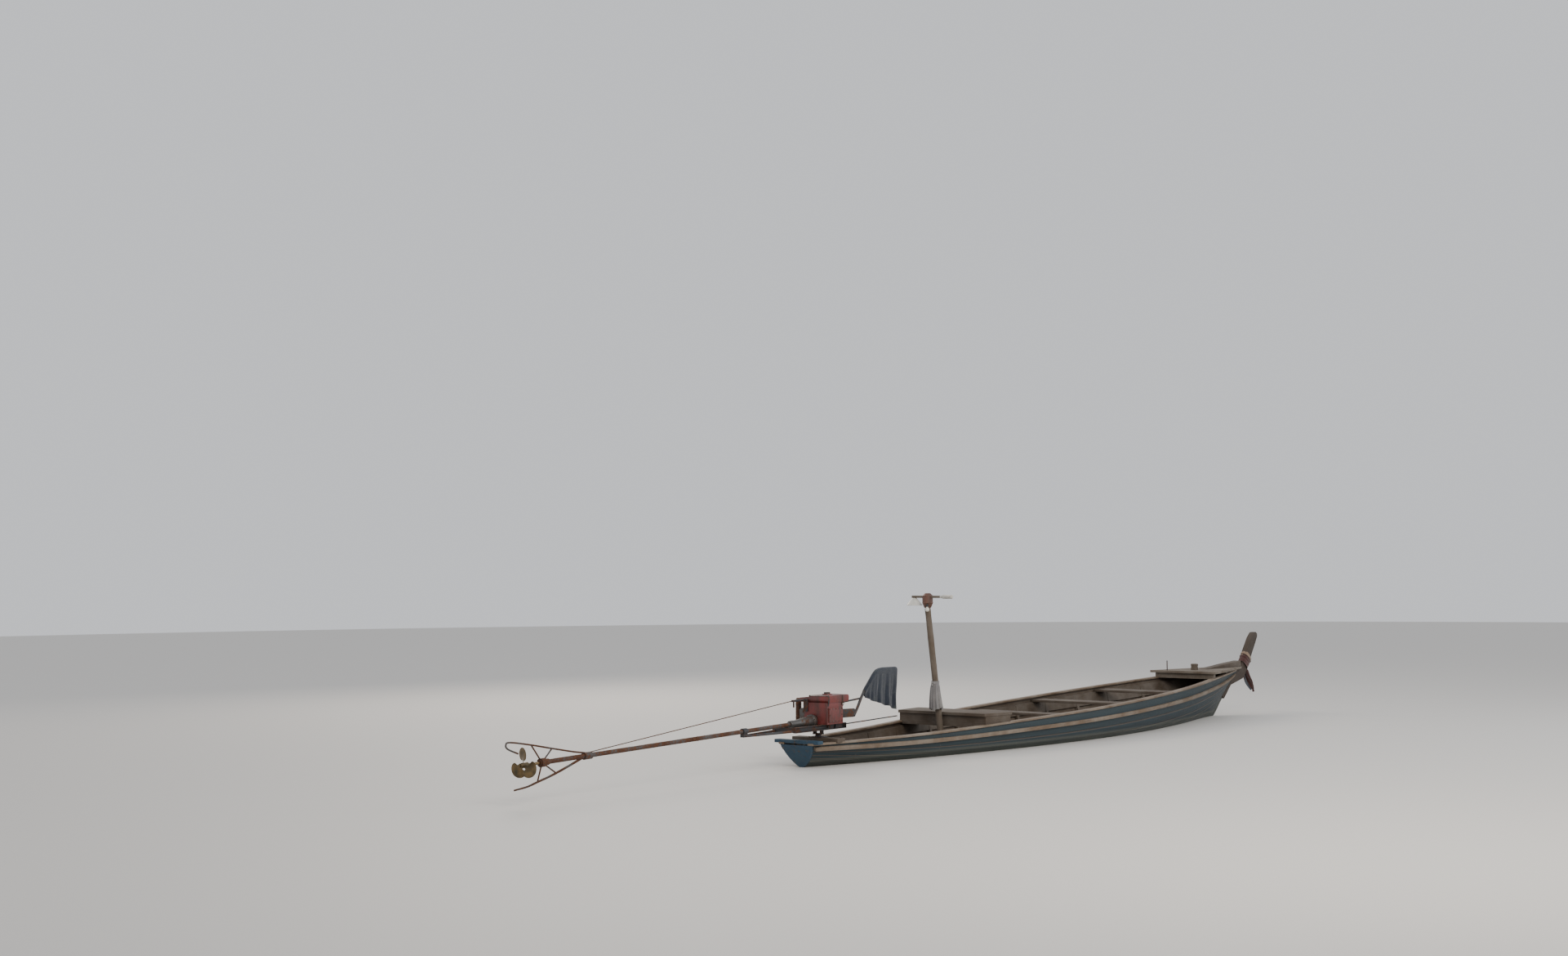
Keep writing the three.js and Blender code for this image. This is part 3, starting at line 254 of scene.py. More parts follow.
class Shades:
    """A material under construction: its nodes, joined by short calls."""

    def __init__(self, name):
        self.material = bpy.data.materials.new(name)
        self.material.use_nodes = True
        self.tree = self.material.node_tree
        self.shader = self.tree.nodes["Principled BSDF"]

    def node(self, kind, inputs=(), **settings):
        return add_node(self.tree, kind, inputs, **settings)

    def place(self, source="Object", scale=(1, 1, 1), turn=(0, 0, 0)):
        """Where a pattern lies: on the piece's own axes, or on its own map."""
        if source == "Object":
            start = self.node("ShaderNodeTexCoord").outputs["Object"]
        else:
            start = self.node("ShaderNodeUVMap", uv_map=source).outputs["UV"]
        inverse = tuple(1 / s for s in scale)
        return self.node("ShaderNodeMapping", {"Vector": start, "Scale": inverse, "Rotation": turn},
                         vector_type="TEXTURE").outputs["Vector"]

    def noise(self, at, scale, detail, roughness, distortion=0.0):
        inputs = {"Vector": at, "Scale": scale, "Detail": detail, "Roughness": roughness,
                  "Distortion": distortion}
        return self.node("ShaderNodeTexNoise", inputs).outputs["Fac"]

    def wave(self, at, direction, scale, distortion, detail=2.0, detail_scale=1.0):
        inputs = {"Vector": at, "Scale": scale, "Distortion": distortion, "Detail": detail,
                  "Detail Scale": detail_scale}
        return self.node("ShaderNodeTexWave", inputs, bands_direction=direction).outputs["Fac"]

    def split(self, vector):
        return self.node("ShaderNodeSeparateXYZ", {"Vector": vector}).outputs

    def ramp(self, value, *stops):
        """A ramp of grey or colour: pairs of a place and a grey or a colour."""
        made = self.node("ShaderNodeValToRGB", {"Fac": value})
        elements = made.color_ramp.elements
        for i, (where, shade) in enumerate(stops):
            element = elements[i] if i < 2 else elements.new(where)
            element.position = where
            element.color = (*shade, 1) if isinstance(shade, tuple) else (shade, shade, shade, 1)
        return made.outputs["Color"]

    def mix(self, share, first, second):
        return self.node("ShaderNodeMix", {0: share, 6: first, 7: second}, data_type="RGBA").outputs[2]

    def above(self, value, low, high):
        """How far a value has risen from low to high, as a grey."""
        return self.ramp(value, (low, 0.0), (high, 1.0))

    def math(self, how, first, second=0.0):
        return self.node("ShaderNodeMath", {0: first, 1: second}, operation=how).outputs[0]

    def times(self, first, second):
        return self.math("MULTIPLY", first, second)

    def stirred(self, value, pattern, reach):
        """A value that a pattern moves up and down, so that its edges wander."""
        return self.math("ADD", value, self.times(self.math("SUBTRACT", pattern, 0.5), reach))

    def bumps(self, *layers):
        """Reliefs on the surface: pairs of a height and a depth in metres."""
        joined = {}
        for height, depth in layers:
            inputs = {"Height": height, "Distance": depth, "Strength": 1.0} | joined
            joined = {"Normal": self.node("ShaderNodeBump", inputs).outputs["Normal"]}
        feed(self.tree, self.shader.inputs["Normal"], joined["Normal"])

    def done(self, colour, roughness, **fixed):
        for key, value in {"Base Color": colour, "Roughness": roughness, **fixed}.items():
            feed(self.tree, self.shader.inputs[key.replace("_", " ")], value)
        return self.material


def painted_planks():
    """Chalky dark paint over hardwood, along the planks' own map: u metres along, v in planks."""
    s = Shades("hull_paint")
    grain = s.noise(s.place("planks", (1.6, 9.0, 1)), 9.0, 6.0, 0.65, 0.6)
    patches = s.noise(s.place("planks", (1.0, 2.4, 1)), 1.7, 5.0, 0.6)
    chips = s.noise(s.place("planks", (3.0, 7.0, 1)), 5.0, 8.0, 0.72)
    planks = s.split(s.place("planks"))["Y"]
    each = s.node("ShaderNodeTexWhiteNoise", {"W": s.math("FLOOR", planks)}, noise_dimensions="1D")
    across = s.math("FRACT", planks)
    to_seam = s.math("MINIMUM", across, s.math("SUBTRACT", 1.0, across))
    near_seam = s.ramp(s.stirred(to_seam, chips, 0.22), (0.0, 1.0), (0.1, 0.0))
    dark, chalk = (0.012, 0.023, 0.030), (0.030, 0.050, 0.060)
    paint = s.mix(s.above(patches, 0.35, 0.7), dark, chalk)
    paint = s.mix(s.times(each.outputs["Value"], 0.35), paint, (0.024, 0.036, 0.038))
    wood = s.mix(grain, (0.060, 0.043, 0.031), (0.125, 0.095, 0.070))
    worn = s.math("MAXIMUM", s.times(near_seam, 0.75), s.above(chips, 0.63, 0.70))
    colour = s.mix(worn, paint, wood)
    height = s.split(s.place())["Z"]
    wet = s.ramp(s.stirred(height, patches, 0.05), (0.03, 1.0), (0.085, 0.0))
    scum = s.ramp(s.stirred(height, chips, 0.06), (0.05, 0.0), (0.075, 0.8), (0.11, 0.0))
    colour = s.mix(wet, colour, (0.018, 0.026, 0.020))
    colour = s.mix(s.times(scum, 0.55), colour, (0.16, 0.155, 0.12))
    s.bumps((grain, 0.0012), (worn, -0.0008), (chips, 0.0006))
    rough = s.ramp(s.math("ADD", patches, s.times(wet, -0.4)), (0.0, 0.35), (1.0, 0.85))
    return s.done(colour, rough, Specular_IOR_Level=0.4)


hull_paint = painted_planks()


def bare_wood(name, axis, dark, light, grey, wear, turn=(0, 0, 0), shine=0.75):
    """Weathered bare wood whose grain runs along one axis of the piece."""
    s = Shades(name)
    stretch = {"x": (0.9, 13.0, 13.0), "y": (13.0, 0.9, 13.0), "z": (13.0, 13.0, 0.9)}[axis]
    at = s.place("Object", stretch, turn)
    even = s.place()
    grain = s.noise(at, 5.0, 7.0, 0.62, 0.8)
    fibre = s.noise(at, 26.0, 3.0, 0.6)
    rings = s.wave(at, {"x": "Y", "y": "Z", "z": "X"}[axis], 0.9, 5.5, detail=3.0, detail_scale=1.4)
    stains = s.noise(even, 2.6, 6.0, 0.6)
    long_way = tuple(v * (0.4 if v < 1 else 1.5) for v in stretch)
    checks = s.ramp(s.noise(s.place("Object", long_way, turn), 12.0, 3.0, 0.5), (0.30, 1.0), (0.35, 0.0))
    colour = s.mix(grain, dark, light)
    colour = s.mix(s.times(rings, 0.28), colour, dark)
    colour = s.mix(s.times(s.above(stains, 0.4, 0.68), wear), colour, grey)
    colour = s.mix(s.times(checks, 0.4), colour, tuple(c * 0.45 for c in dark))
    s.bumps((grain, 0.0010), (fibre, 0.0004), (checks, -0.0010))
    return s.done(colour, s.ramp(stains, (0.2, shine - 0.12), (0.8, shine + 0.12)), Specular_IOR_Level=0.35)


plank_inside = bare_wood("inside_wood_planks", "x", (0.052, 0.036, 0.024), (0.135, 0.100, 0.070),
                         (0.17, 0.145, 0.12), 0.55)


def mapped_face(bm, layer, corners, places, finish=0):
    """A face with the place of each of its corners on a map."""
    face = bm.faces.new(corners)
    face.material_index = finish
    for loop, place in zip(face.loops, places):
        loop[layer].uv = place


def plank_shell(turn, name):
    """One side's planks as a shell, with a groove in its outer faces at each seam."""
    bm = bmesh.new()
    planks_map = bm.loops.layers.uv.new("planks")
    columns = []
    for i, (low, high) in enumerate(zip(STRAKES, STRAKES[1:])):
        for k in range(PLANK_STEPS + 1):
            share = k / PLANK_STEPS
            columns.append((low + (high - low) * share, i + share, k in (0, PLANK_STEPS)))
    rows = [i / PLANK_ROWS for i in range(PLANK_ROWS + 1)]
    along = [0.0]
    for a, b in zip(rows, rows[1:]):
        along.append(along[-1] + (hull_point(b, 0.6) - hull_point(a, 0.6)).length)
    sheets = []
    for outer in (True, False):
        grid = []
        for u in rows:
            line = []
            for n, (t, v, at_seam) in enumerate(columns):
                girth = (hull_point(u, min(t + 0.01, 1)) - hull_point(u, max(t - 0.01, 0))).length / 0.02
                step = 0.0
                if at_seam and 0 < t < 1:
                    low_side = n % (PLANK_STEPS + 1) == PLANK_STEPS
                    step = (-SEAM_HALF if low_side else SEAM_HALF) / max(girth, 0.05)
                place = hull_point(u, min(max(t + step, 0), 1), 0.0 if outer else PLANK)
                line.append(bm.verts.new(turn(place)))
            line = [(vert, v) for vert, (_, v, _) in zip(line, columns)]
            if outer:
                full = []
                for n, (t, v, _) in enumerate(columns):
                    full.append(line[n])
                    if n % (PLANK_STEPS + 1) == PLANK_STEPS and t < 1:
                        full.append((bm.verts.new(turn(hull_point(u, t, SEAM_DEPTH))), v))
                line = full
            garboard = hull_point(u, 0, 0.0 if outer else PLANK)
            line.insert(0, (bm.verts.new(turn(Vector((garboard.x, 0.0002, garboard.z)))), 0.0))
            grid.append(line)
        sheets.append(grid)
    for inside, grid in enumerate(sheets):
        for i in range(PLANK_ROWS):
            for j in range(len(grid[0]) - 1):
                corners = grid[i][j], grid[i][j + 1], grid[i + 1][j + 1], grid[i + 1][j]
                runs = along[i], along[i], along[i + 1], along[i + 1]
                places = [(run, v) for run, (_, v) in zip(runs, corners)]
                mapped_face(bm, planks_map, [vert for vert, _ in corners], places, inside)
    outer, inner = sheets
    for j in (0, -1):
        for i in range(PLANK_ROWS):
            corners = outer[i][j][0], outer[i + 1][j][0], inner[i + 1][j][0], inner[i][j][0]
            places = (along[i], 0.5), (along[i + 1], 0.5), (along[i + 1], 0.6), (along[i], 0.6)
            mapped_face(bm, planks_map, corners, places)
    for i in (0, PLANK_ROWS):
        ring = [v for v, _ in outer[i]] + [v for v, _ in reversed(inner[i])]
        mapped_face(bm, planks_map, ring, [(along[i], 0.5)] * len(ring))
    bmesh.ops.remove_doubles(bm, verts=bm.verts, dist=1e-5)
    bmesh.ops.triangulate(bm, faces=[f for f in bm.faces if len(f.verts) > 4])
    bmesh.ops.recalc_face_normals(bm, faces=bm.faces)
    shell = new_object(name, bm, hull_paint, radians(50))
    shell.data.materials.append(plank_inside)
    return shell


LENGTHS = ("aft", "middle", "fore", "bow")
SIDES = {"port": lambda p: Vector(p), "starboard": lambda p: Vector((p.x, -p.y, p.z))}
for side, turn in SIDES.items():
    stands_for = [f"side_planking_{side}"] + [f"bottom_planking_{side}_{length}" for length in LENGTHS]
    belongs(plank_shell(turn, f"planks_{side}"), "hull", stands_for)

HEADS_SUNK = 0.0004


def fixings(name, places, body, material, radius, height, sides, top_share):
    """Heads of nails or bolts, one on each pair of a point and the way that it faces."""
    tree = bpy.data.node_groups.new(f"{name}_tree", "GeometryNodeTree")

    def socket(label, kind, in_out="INPUT"):
        return tree.interface.new_socket(label, in_out=in_out, socket_type=f"NodeSocket{kind}").identifier

    def add(kind, inputs=(), **settings):
        return add_node(tree, kind, inputs, **settings)

    socket("Geometry", "Geometry")
    given = {
        "Head radius": ("Float", radius), "Head height": ("Float", height), "Head sides": ("Int", sides),
        "Top share": ("Float", top_share), "Seed": ("Int", 7), "Finish": ("Material", material),
    }
    inputs = {label: socket(label, kind) for label, (kind, _) in given.items()}
    socket("Geometry", "Geometry", "OUTPUT")
    start = add("NodeGroupInput").outputs
    top = add("ShaderNodeMath", {0: start["Head radius"], 1: start["Top share"]}, operation="MULTIPLY")
    head = add("GeometryNodeMeshCone", {
        "Vertices": start["Head sides"], "Radius Top": top.outputs[0], "Radius Bottom": start["Head radius"],
        "Depth": start["Head height"]})
    faces = add("GeometryNodeInputNamedAttribute", {"Name": "faces"}, data_type="FLOAT_VECTOR")
    aim = add("FunctionNodeAlignRotationToVector", {"Vector": faces.outputs[0]}, axis="Z")
    spin = add("FunctionNodeRandomValue", {3: tau, "Seed": start["Seed"]}, data_type="FLOAT")
    about = add("ShaderNodeCombineXYZ", {"Z": spin.outputs[1]})
    euler = add("FunctionNodeEulerToRotation", {0: about.outputs[0]})
    turned = add("FunctionNodeRotateRotation", {"Rotation": aim.outputs[0], "Rotate By": euler.outputs[0]},
                 rotation_space="LOCAL")
    put = add("GeometryNodeInstanceOnPoints", {
        "Points": start["Geometry"], "Instance": head.outputs["Mesh"], "Rotation": turned.outputs[0]})
    real = add("GeometryNodeRealizeInstances", {0: put.outputs[0]})
    finish = add("GeometryNodeSetMaterial", {"Geometry": real.outputs[0], "Material": start["Finish"]})
    add("NodeGroupOutput", {"Geometry": finish.outputs[0]})

    points = bpy.data.meshes.new(f"{name}_points")
    points.from_pydata([place - way * HEADS_SUNK for place, way in places], [], [])
    facing = points.attributes.new("faces", "FLOAT_VECTOR", "POINT")
    facing.data.foreach_set("vector", [value for _, way in places for value in way])
    carrier = bpy.data.objects.new(f"{name}_points", points)
    bpy.context.scene.collection.objects.link(carrier)
    modifier = carrier.modifiers.new("heads", "NODES")
    modifier.node_group = tree
    for label, (_, value) in given.items():
        modifier[inputs[label]] = value
    carrier.update_tag()
    made = bpy.data.meshes.new_from_object(carrier.evaluated_get(bpy.context.evaluated_depsgraph_get()))
    bpy.data.objects.remove(carrier)
    piece = bpy.data.objects.new(name, made)
    bpy.context.scene.collection.objects.link(piece)
    belongs(piece, body)


def dull_iron(name, dark, light):
    """Galvanised iron gone dull, with rust in its hollows."""
    s = Shades(name)
    even = s.place()
    patch = s.noise(even, 60.0, 5.0, 0.65)
    grit = s.noise(even, 400.0, 3.0, 0.6)
    colour = s.mix(s.above(patch, 0.42, 0.6), s.mix(grit, dark, light), (0.085, 0.036, 0.018))
    s.bumps((grit, 0.0002))
    return s.done(colour, s.ramp(patch, (0.4, 0.42), (0.62, 0.85)), Metallic=0.5)


FRAME_STATIONS = (0.60, 1.25, 1.90, 2.60, 3.45, 4.15, 4.95, 5.65, 6.35, 7.05, 7.75, 8.45)
FRAME_HALF = 0.023
RAIL_SHARE = (0.84, 0.935)
NAIL_SHARES = (0.24, 0.76)
nail_iron = dull_iron("nail_iron", (0.075, 0.072, 0.068), (0.150, 0.146, 0.140))
nail_places = []
for turn in SIDES.values():
    for station in FRAME_STATIONS:
        u = step_at(KEEL_LINE, station + FRAME_HALF + STERN_X)
        for low, high in zip(STRAKES, STRAKES[1:]):
            for share in NAIL_SHARES:
                t = low + (high - low) * share
                if t < 0.06 or RAIL_SHARE[0] < t < RAIL_SHARE[1]:
                    continue
                place = hull_point(u, t)
                girth, run = hull_point(u, t + 0.004) - place, hull_point(u + 0.004, t) - place
                outward = girth.cross(run).normalized()
                if outward.y < 0:
                    outward = -outward
                nail_places.append((turn(place), turn(outward)))
fixings("plank_nails", nail_places, "hull", nail_iron, radius=0.0060, height=0.0024, sides=10, top_share=0.72)

# Caps and rub rails
# Flat hardwood caps lie on the planks' top edges, and a rub rail is nailed
# outside below each. They're bare, oiled once, rubbed smooth and pale on the
# arris by ropes and hands, and grey elsewhere.
trim_wood = bare_wood("trim_paint", "x", (0.080, 0.052, 0.032), (0.215, 0.148, 0.094), (0.27, 0.235, 0.195),
                      0.7, shine=0.62)


def ease_edges(bm, sharper_than, size):
    """Rounds the edges that turn by more than an angle."""
    sharp = [e for e in bm.edges if len(e.link_faces) == 2 and e.calc_face_angle(0) > sharper_than]
    bmesh.ops.bevel(bm, geom=sharp, offset=size, segments=2, profile=0.6, affect="EDGES", clamp_overlap=True)


def finished(node, body, material, round_edge):
    """A copy of a CAD node with its edges eased, which then stands for the node."""
    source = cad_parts[node].data
    bm = bmesh.new()
    bm.from_mesh(source)
    bmesh.ops.remove_doubles(bm, verts=bm.verts, dist=2e-5)
    bmesh.ops.dissolve_limit(bm, angle_limit=radians(0.6), verts=bm.verts, edges=bm.edges)
    if round_edge:
        ease_edges(bm, radians(32), round_edge)
    bmesh.ops.triangulate(bm, faces=[f for f in bm.faces if len(f.verts) > 4])
    return belongs(new_object(f"{node}_finish", bm, material, radians(38)), body, [node])


for side in SIDES:
    finished(f"gunwale_{side}", "hull", trim_wood, 0.005)
    finished(f"rub_rail_{side}", "hull", trim_wood, 0.007)
UP = Vector((0, 0, 1))
CAP_TOP = 0.025
CAP_NAILS, CAP_NAIL_FROM, CAP_NAIL_STEP = 29, -4.38, 0.297
BENCH_FROM, BENCH_TO = -2.30, -1.55
cap_nails = []
for turn in SIDES.values():
    for i in range(CAP_NAILS):
        x = CAP_NAIL_FROM + CAP_NAIL_STEP * i
        if BENCH_FROM < x < BENCH_TO:
            continue
        edge = on_line(TOP_LINE, step_at(TOP_LINE, x))
        for ahead, inwards in ((0, -0.004), (0.02, -0.040)):
            cap_nails.append((turn(edge + Vector((ahead, inwards, CAP_TOP))), UP))
fixings("cap_nails", cap_nails, "hull", nail_iron, radius=0.0055, height=0.0016, sides=10, top_share=0.8)

# Keel, stem, transom and beams
# Squared timbers: the keel and the raked stem are one line of heavy hardwood,
# the transom is a board with its beam on it, painted blue years ago.
keel_wood = bare_wood("keel_paint", "x", (0.030, 0.036, 0.034), (0.075, 0.080, 0.070), (0.12, 0.12, 0.10),
                      0.4)
finished("keel", "hull", keel_wood, 0.004)
stem_wood = bare_wood("stem_wood", "x", (0.028, 0.021, 0.017), (0.085, 0.060, 0.043), (0.115, 0.100, 0.086),
                      0.45, turn=(0, radians(-49.5), 0))
finished("stem", "hull", stem_wood, 0.008)


def old_paint(name, fresh, faded, under):
    """Brushed paint that has faded, crazed and flaked off the wood."""
    s = Shades(name)
    even = s.place()
    flaking, scale = 0.58, 6.0
    strokes = s.noise(s.place("Object", (2.0, 0.5, 8.0)), 14.0, 5.0, 0.6)
    fade = s.noise(even, scale * 0.45, 5.0, 0.62)
    flake = s.ramp(s.noise(even, scale * 3.0, 9.0, 0.74, 0.3), (flaking, 0.0), (flaking + 0.035, 1.0))
    crackle = s.node("ShaderNodeTexVoronoi", {"Vector": even, "Scale": scale * 9.0},
                     feature="DISTANCE_TO_EDGE").outputs["Distance"]
    lines = s.times(s.ramp(crackle, (0.0, 1.0), (0.045, 0.0)), s.above(fade, 0.45, 0.65))
    colour = s.mix(s.above(fade, 0.35, 0.72), fresh, faded)
    colour = s.mix(s.times(strokes, 0.25), colour, faded)
    colour = s.mix(s.times(lines, 0.6), colour, under)
    colour = s.mix(flake, colour, s.mix(strokes, under, tuple(c * 1.9 for c in under)))
    s.bumps((strokes, 0.0006), (flake, -0.0010), (lines, -0.0005))
    return s.done(colour, s.ramp(fade, (0.2, 0.5), (0.8, 0.8)), Specular_IOR_Level=0.4)


blue_paint = old_paint("transom_paint", (0.014, 0.040, 0.074), (0.038, 0.078, 0.110), (0.060, 0.044, 0.033))
finished("transom", "hull", blue_paint, 0.004)
finished("stern_beam", "hull", blue_paint, 0.005)
cross_wood = bare_wood("inside_wood_across", "y", (0.044, 0.031, 0.022), (0.115, 0.085, 0.060),
                       (0.155, 0.135, 0.113), 0.6)
finished("motor_beam", "hull", cross_wood, 0.006)

# Frames, floor, bench and thwarts
# Sawn hardwood left bare inside, dark with damp and greyed where the sun and
# feet reach it. The thwarts and the bench lie across the boat.
long_wood = bare_wood("inside_wood_along", "x", (0.050, 0.036, 0.025), (0.125, 0.095, 0.068),
                      (0.175, 0.152, 0.130), 0.65)
for node in ("side_frames_port", "side_frames_starboard", "floor_frames"):
    finished(node, "hull", long_wood, 0.0)
finished("floorboards", "hull", long_wood, 0.003)
for node in ("mast_bench", "thwart_1", "thwart_2", "thwart_3"):
    finished(node, "hull", cross_wood, 0.004)
finished("mast_step", "hull", cross_wood, 0.005)

# Foredeck
# Fore-and-aft planks on two battens, bleached by sun and salt, with a knee
# let down on them behind the stem, a short bollard and a steel pin.
deck_wood = bare_wood("deck_wood", "x", (0.070, 0.052, 0.036), (0.180, 0.140, 0.100), (0.225, 0.198, 0.168),
                      0.75)
finished("foredeck", "hull", deck_wood, 0.003)
finished("bow_knee", "hull", long_wood, 0.006)
bollard_wood = bare_wood("bollard_wood", "z", (0.050, 0.036, 0.025), (0.135, 0.100, 0.070),
                         (0.180, 0.158, 0.132), 0.6)


def lathed(name, foot, axis, profile, material, body, nodes=(), sides=40):
    """A turned piece: its profile is pairs of a place along the axis and a radius."""
    first = axis.orthogonal().normalized()
    second = axis.normalized().cross(first)
    bm = bmesh.new()
    rings = []
    for along, radius in profile:
        spokes = [(0.0, 0.0)] if radius < 1e-6 else [
            (radius * cos(tau * k / sides), radius * sin(tau * k / sides)) for k in range(sides)]
        rings.append([bm.verts.new(foot + axis * along + first * c + second * s) for c, s in spokes])
    pairs = list(zip(rings, rings[1:]))
    if len(rings[0]) > 1:
        pairs.append((rings[-1], rings[0]))
    for a, b in pairs:
        for k in range(sides):
            m = (k + 1) % sides
            bm.faces.new(tuple(dict.fromkeys((a[k % len(a)], a[m % len(a)], b[m % len(b)], b[k % len(b)]))))
    bmesh.ops.recalc_face_normals(bm, faces=bm.faces)
    return belongs(new_object(name, bm, material, radians(32)), body, nodes)


DECK_TOP = 0.725
lathed("bow_bollard_turned", Vector((4.42, 0, DECK_TOP)), UP,
       [(0.0004, 0), (0.0004, 0.055), (0.006, 0.0555), (0.050, 0.0515), (0.062, 0.0515), (0.070, 0.0545),
        (0.086, 0.0545), (0.0925, 0.050), (0.095, 0.042), (0.0955, 0)], bollard_wood, "hull",
       ["bow_bollard"])
DECK_BATTENS = ((9.03, 0.50), (9.73, 0.29))
DECK_PLANKS = (0.060, 0.180, 0.300, 0.420)
deck_nails = []
for station, reach in DECK_BATTENS:
    for side in (1, -1):
        for across in (middle + spread for middle in DECK_PLANKS for spread in (-0.034, 0.034)):
            if across < reach:
                deck_nails.append((Vector((station + STERN_X, side * across, DECK_TOP)), UP))
fixings("deck_nails", deck_nails, "hull", nail_iron, radius=0.0055, height=0.0016, sides=10, top_share=0.8)

# Mast
# A peeled round pole that stands in a step on the floor against the bench,
# gone grey in the sun, with the knots of its branches still proud.
pole_wood = bare_wood("mast_wood", "z", (0.060, 0.044, 0.031), (0.155, 0.118, 0.084), (0.205, 0.180, 0.150),
                      0.6, turn=(0, radians(-9), 0))
MAST_FOOT = Vector((-2.133, 0, -0.055))
MAST_HEAD = Vector((-2.425, 0, 1.790))
MAST_RADIUS, MAST_STEPS = 0.042, 48
mast_profile = [(0, 0), (0, 0.041)]
for i in range(1, MAST_STEPS):
    share = i / MAST_STEPS
    knot = 0.0016 * exp(-((share * 5.2 + 0.35) % 1 - 0.5) ** 2 / 0.01)
    mast_profile.append((share, MAST_RADIUS - 0.0042 * share + 0.0006 * sin(19 * share) + knot - 0.0006))
mast_profile += [(0.9985, 0.0372), (1.0, 0.0345), (1.0, 0)]
lathed("mast_pole", MAST_FOOT, MAST_HEAD - MAST_FOOT, mast_profile, pole_wood, "hull", ["mast"])
finished("lamp_arm", "hull", pole_wood, 0.003)

# Steel of the swivel, the bed and the tail
# Welded channel, tube and round bar, painted black by hand, with rust through
# the paint at every weld and scratch.


def rusty_steel(name, paint, rust_share, shine=0.45, metal=0.35):
    """Hand-painted steel with rust through the paint."""
    s = Shades(name)
    even = s.place()
    broad = s.noise(even, 5.0, 6.0, 0.62)
    fine = s.noise(even, 38.0, 7.0, 0.7)
    grit = s.noise(even, 170.0, 3.0, 0.6)
    share = s.math("ADD", s.times(broad, 0.55), s.times(fine, 0.45))
    edge = 0.5 + (0.5 - rust_share) * 0.22
    rust = s.ramp(share, (edge - 0.035, 0.0), (edge + 0.035, 1.0))
    rust_colour = s.ramp(fine, (0.3, (0.040, 0.018, 0.011)), (0.52, (0.095, 0.038, 0.018)),
                         (0.72, (0.165, 0.072, 0.032)))
    colour = s.mix(rust, s.mix(grit, paint, tuple(c * 1.7 + 0.01 for c in paint)), rust_colour)
    s.bumps((fine, 0.0006), (grit, 0.00025), (rust, 0.0004))
    rough = s.mix(rust, (shine,) * 3, (0.88,) * 3)
    return s.done(colour, rough, Metallic=metal, Specular_IOR_Level=0.5)


dark_steel = rusty_steel("steel", (0.022, 0.022, 0.024), 0.42)
tail_steel = rusty_steel("tail_steel", (0.045, 0.040, 0.038), 0.62, 0.5)
for node, body in (("pivot_plate", "hull"), ("swivel_fork", "swivel"), ("motor_bed", "motor"),
                   ("stay_bracket", "motor"), ("tiller", "motor")):
    finished(node, body, dark_steel, 0.0015)
lathed("bow_pin_round", Vector((4.12, 0.30, DECK_TOP)), UP,
       [(0.0004, 0), (0.0004, 0.008), (0.144, 0.008), (0.149, 0.006), (0.1505, 0)], dark_steel, "hull",
       ["bow_pin"], 20)
SWING = radians(3.1)
PIVOT = Vector((-4.616, 0, 0.45))


def in_motor(x, y, z):
    """A place on the motor, which is parked swung a little to starboard."""
    return PIVOT + Vector((x * cos(SWING) - y * sin(SWING), x * sin(SWING) + y * cos(SWING), z))


def tail_point(aft, up=0.0):
    """A place on the tail's line, which falls slowly on its way aft."""
    return in_motor(-aft, 0, 0.074 - 0.0265 * aft + up)


def motor_line(*places):
    """A line through places on the motor."""
    return [in_motor(*place) for place in places]


def motor_way(x, y, z):
    """A direction on the motor."""
    return (in_motor(x, y, z) - in_motor(0, 0, 0)).normalized()


def straight_bar(name, begin, end, radius, finish, nodes, sides=18):
    """A round bar whose ends are eased, from one place on the motor to another."""
    ease = min(radius * 0.3, 0.002) / (end - begin).length
    profile = [(0, 0), (0, radius * 0.8), (ease, radius), (1 - ease, radius), (1, radius * 0.8), (1, 0)]
    return lathed(name, begin, end - begin, profile, finish, "motor", nodes, sides)


aft_way = tail_point(1) - tail_point(0)
fore_way, port_way = motor_way(1, 0, 0), motor_way(0, 1, 0)
lathed("tail_tube_round", tail_point(0), aft_way,
       [(0.3003, 0.0156), (0.3003, 0.024), (1.30, 0.024), (2.2, 0.024), (2.204, 0.0255), (2.212, 0.0255),
        (2.216, 0.024), (3.4, 0.024), (4.508, 0.024), (4.512, 0.0315), (4.518, 0.033), (4.632, 0.033),
        (4.640, 0.030), (4.640, 0.0156)], tail_steel, "motor", ["tail_tube"])
straight_bar("tail_stay_bar", in_motor(-0.36075, 0.110, 0.312), tail_point(3.8943, 0.033), 0.005,
             tail_steel, ["tail_stay"], 12)
straight_bar("tiller_brace_bar", in_motor(0.2012, -0.150, 0.268), in_motor(0.648, -0.150, 0.2982), 0.011,
             dark_steel, ["tiller_brace"])
straight_bar("tie_rod_bar", in_motor(0.3303, -0.060, 0.0), in_motor(1.56, -0.060, 0.030), 0.007, dark_steel,
             ["tie_rod"])

# Engine
# One lying cylinder with its water hopper and tank on top. The castings are
# sprayed red at the works; oil, salt and hands have dulled and chipped them.


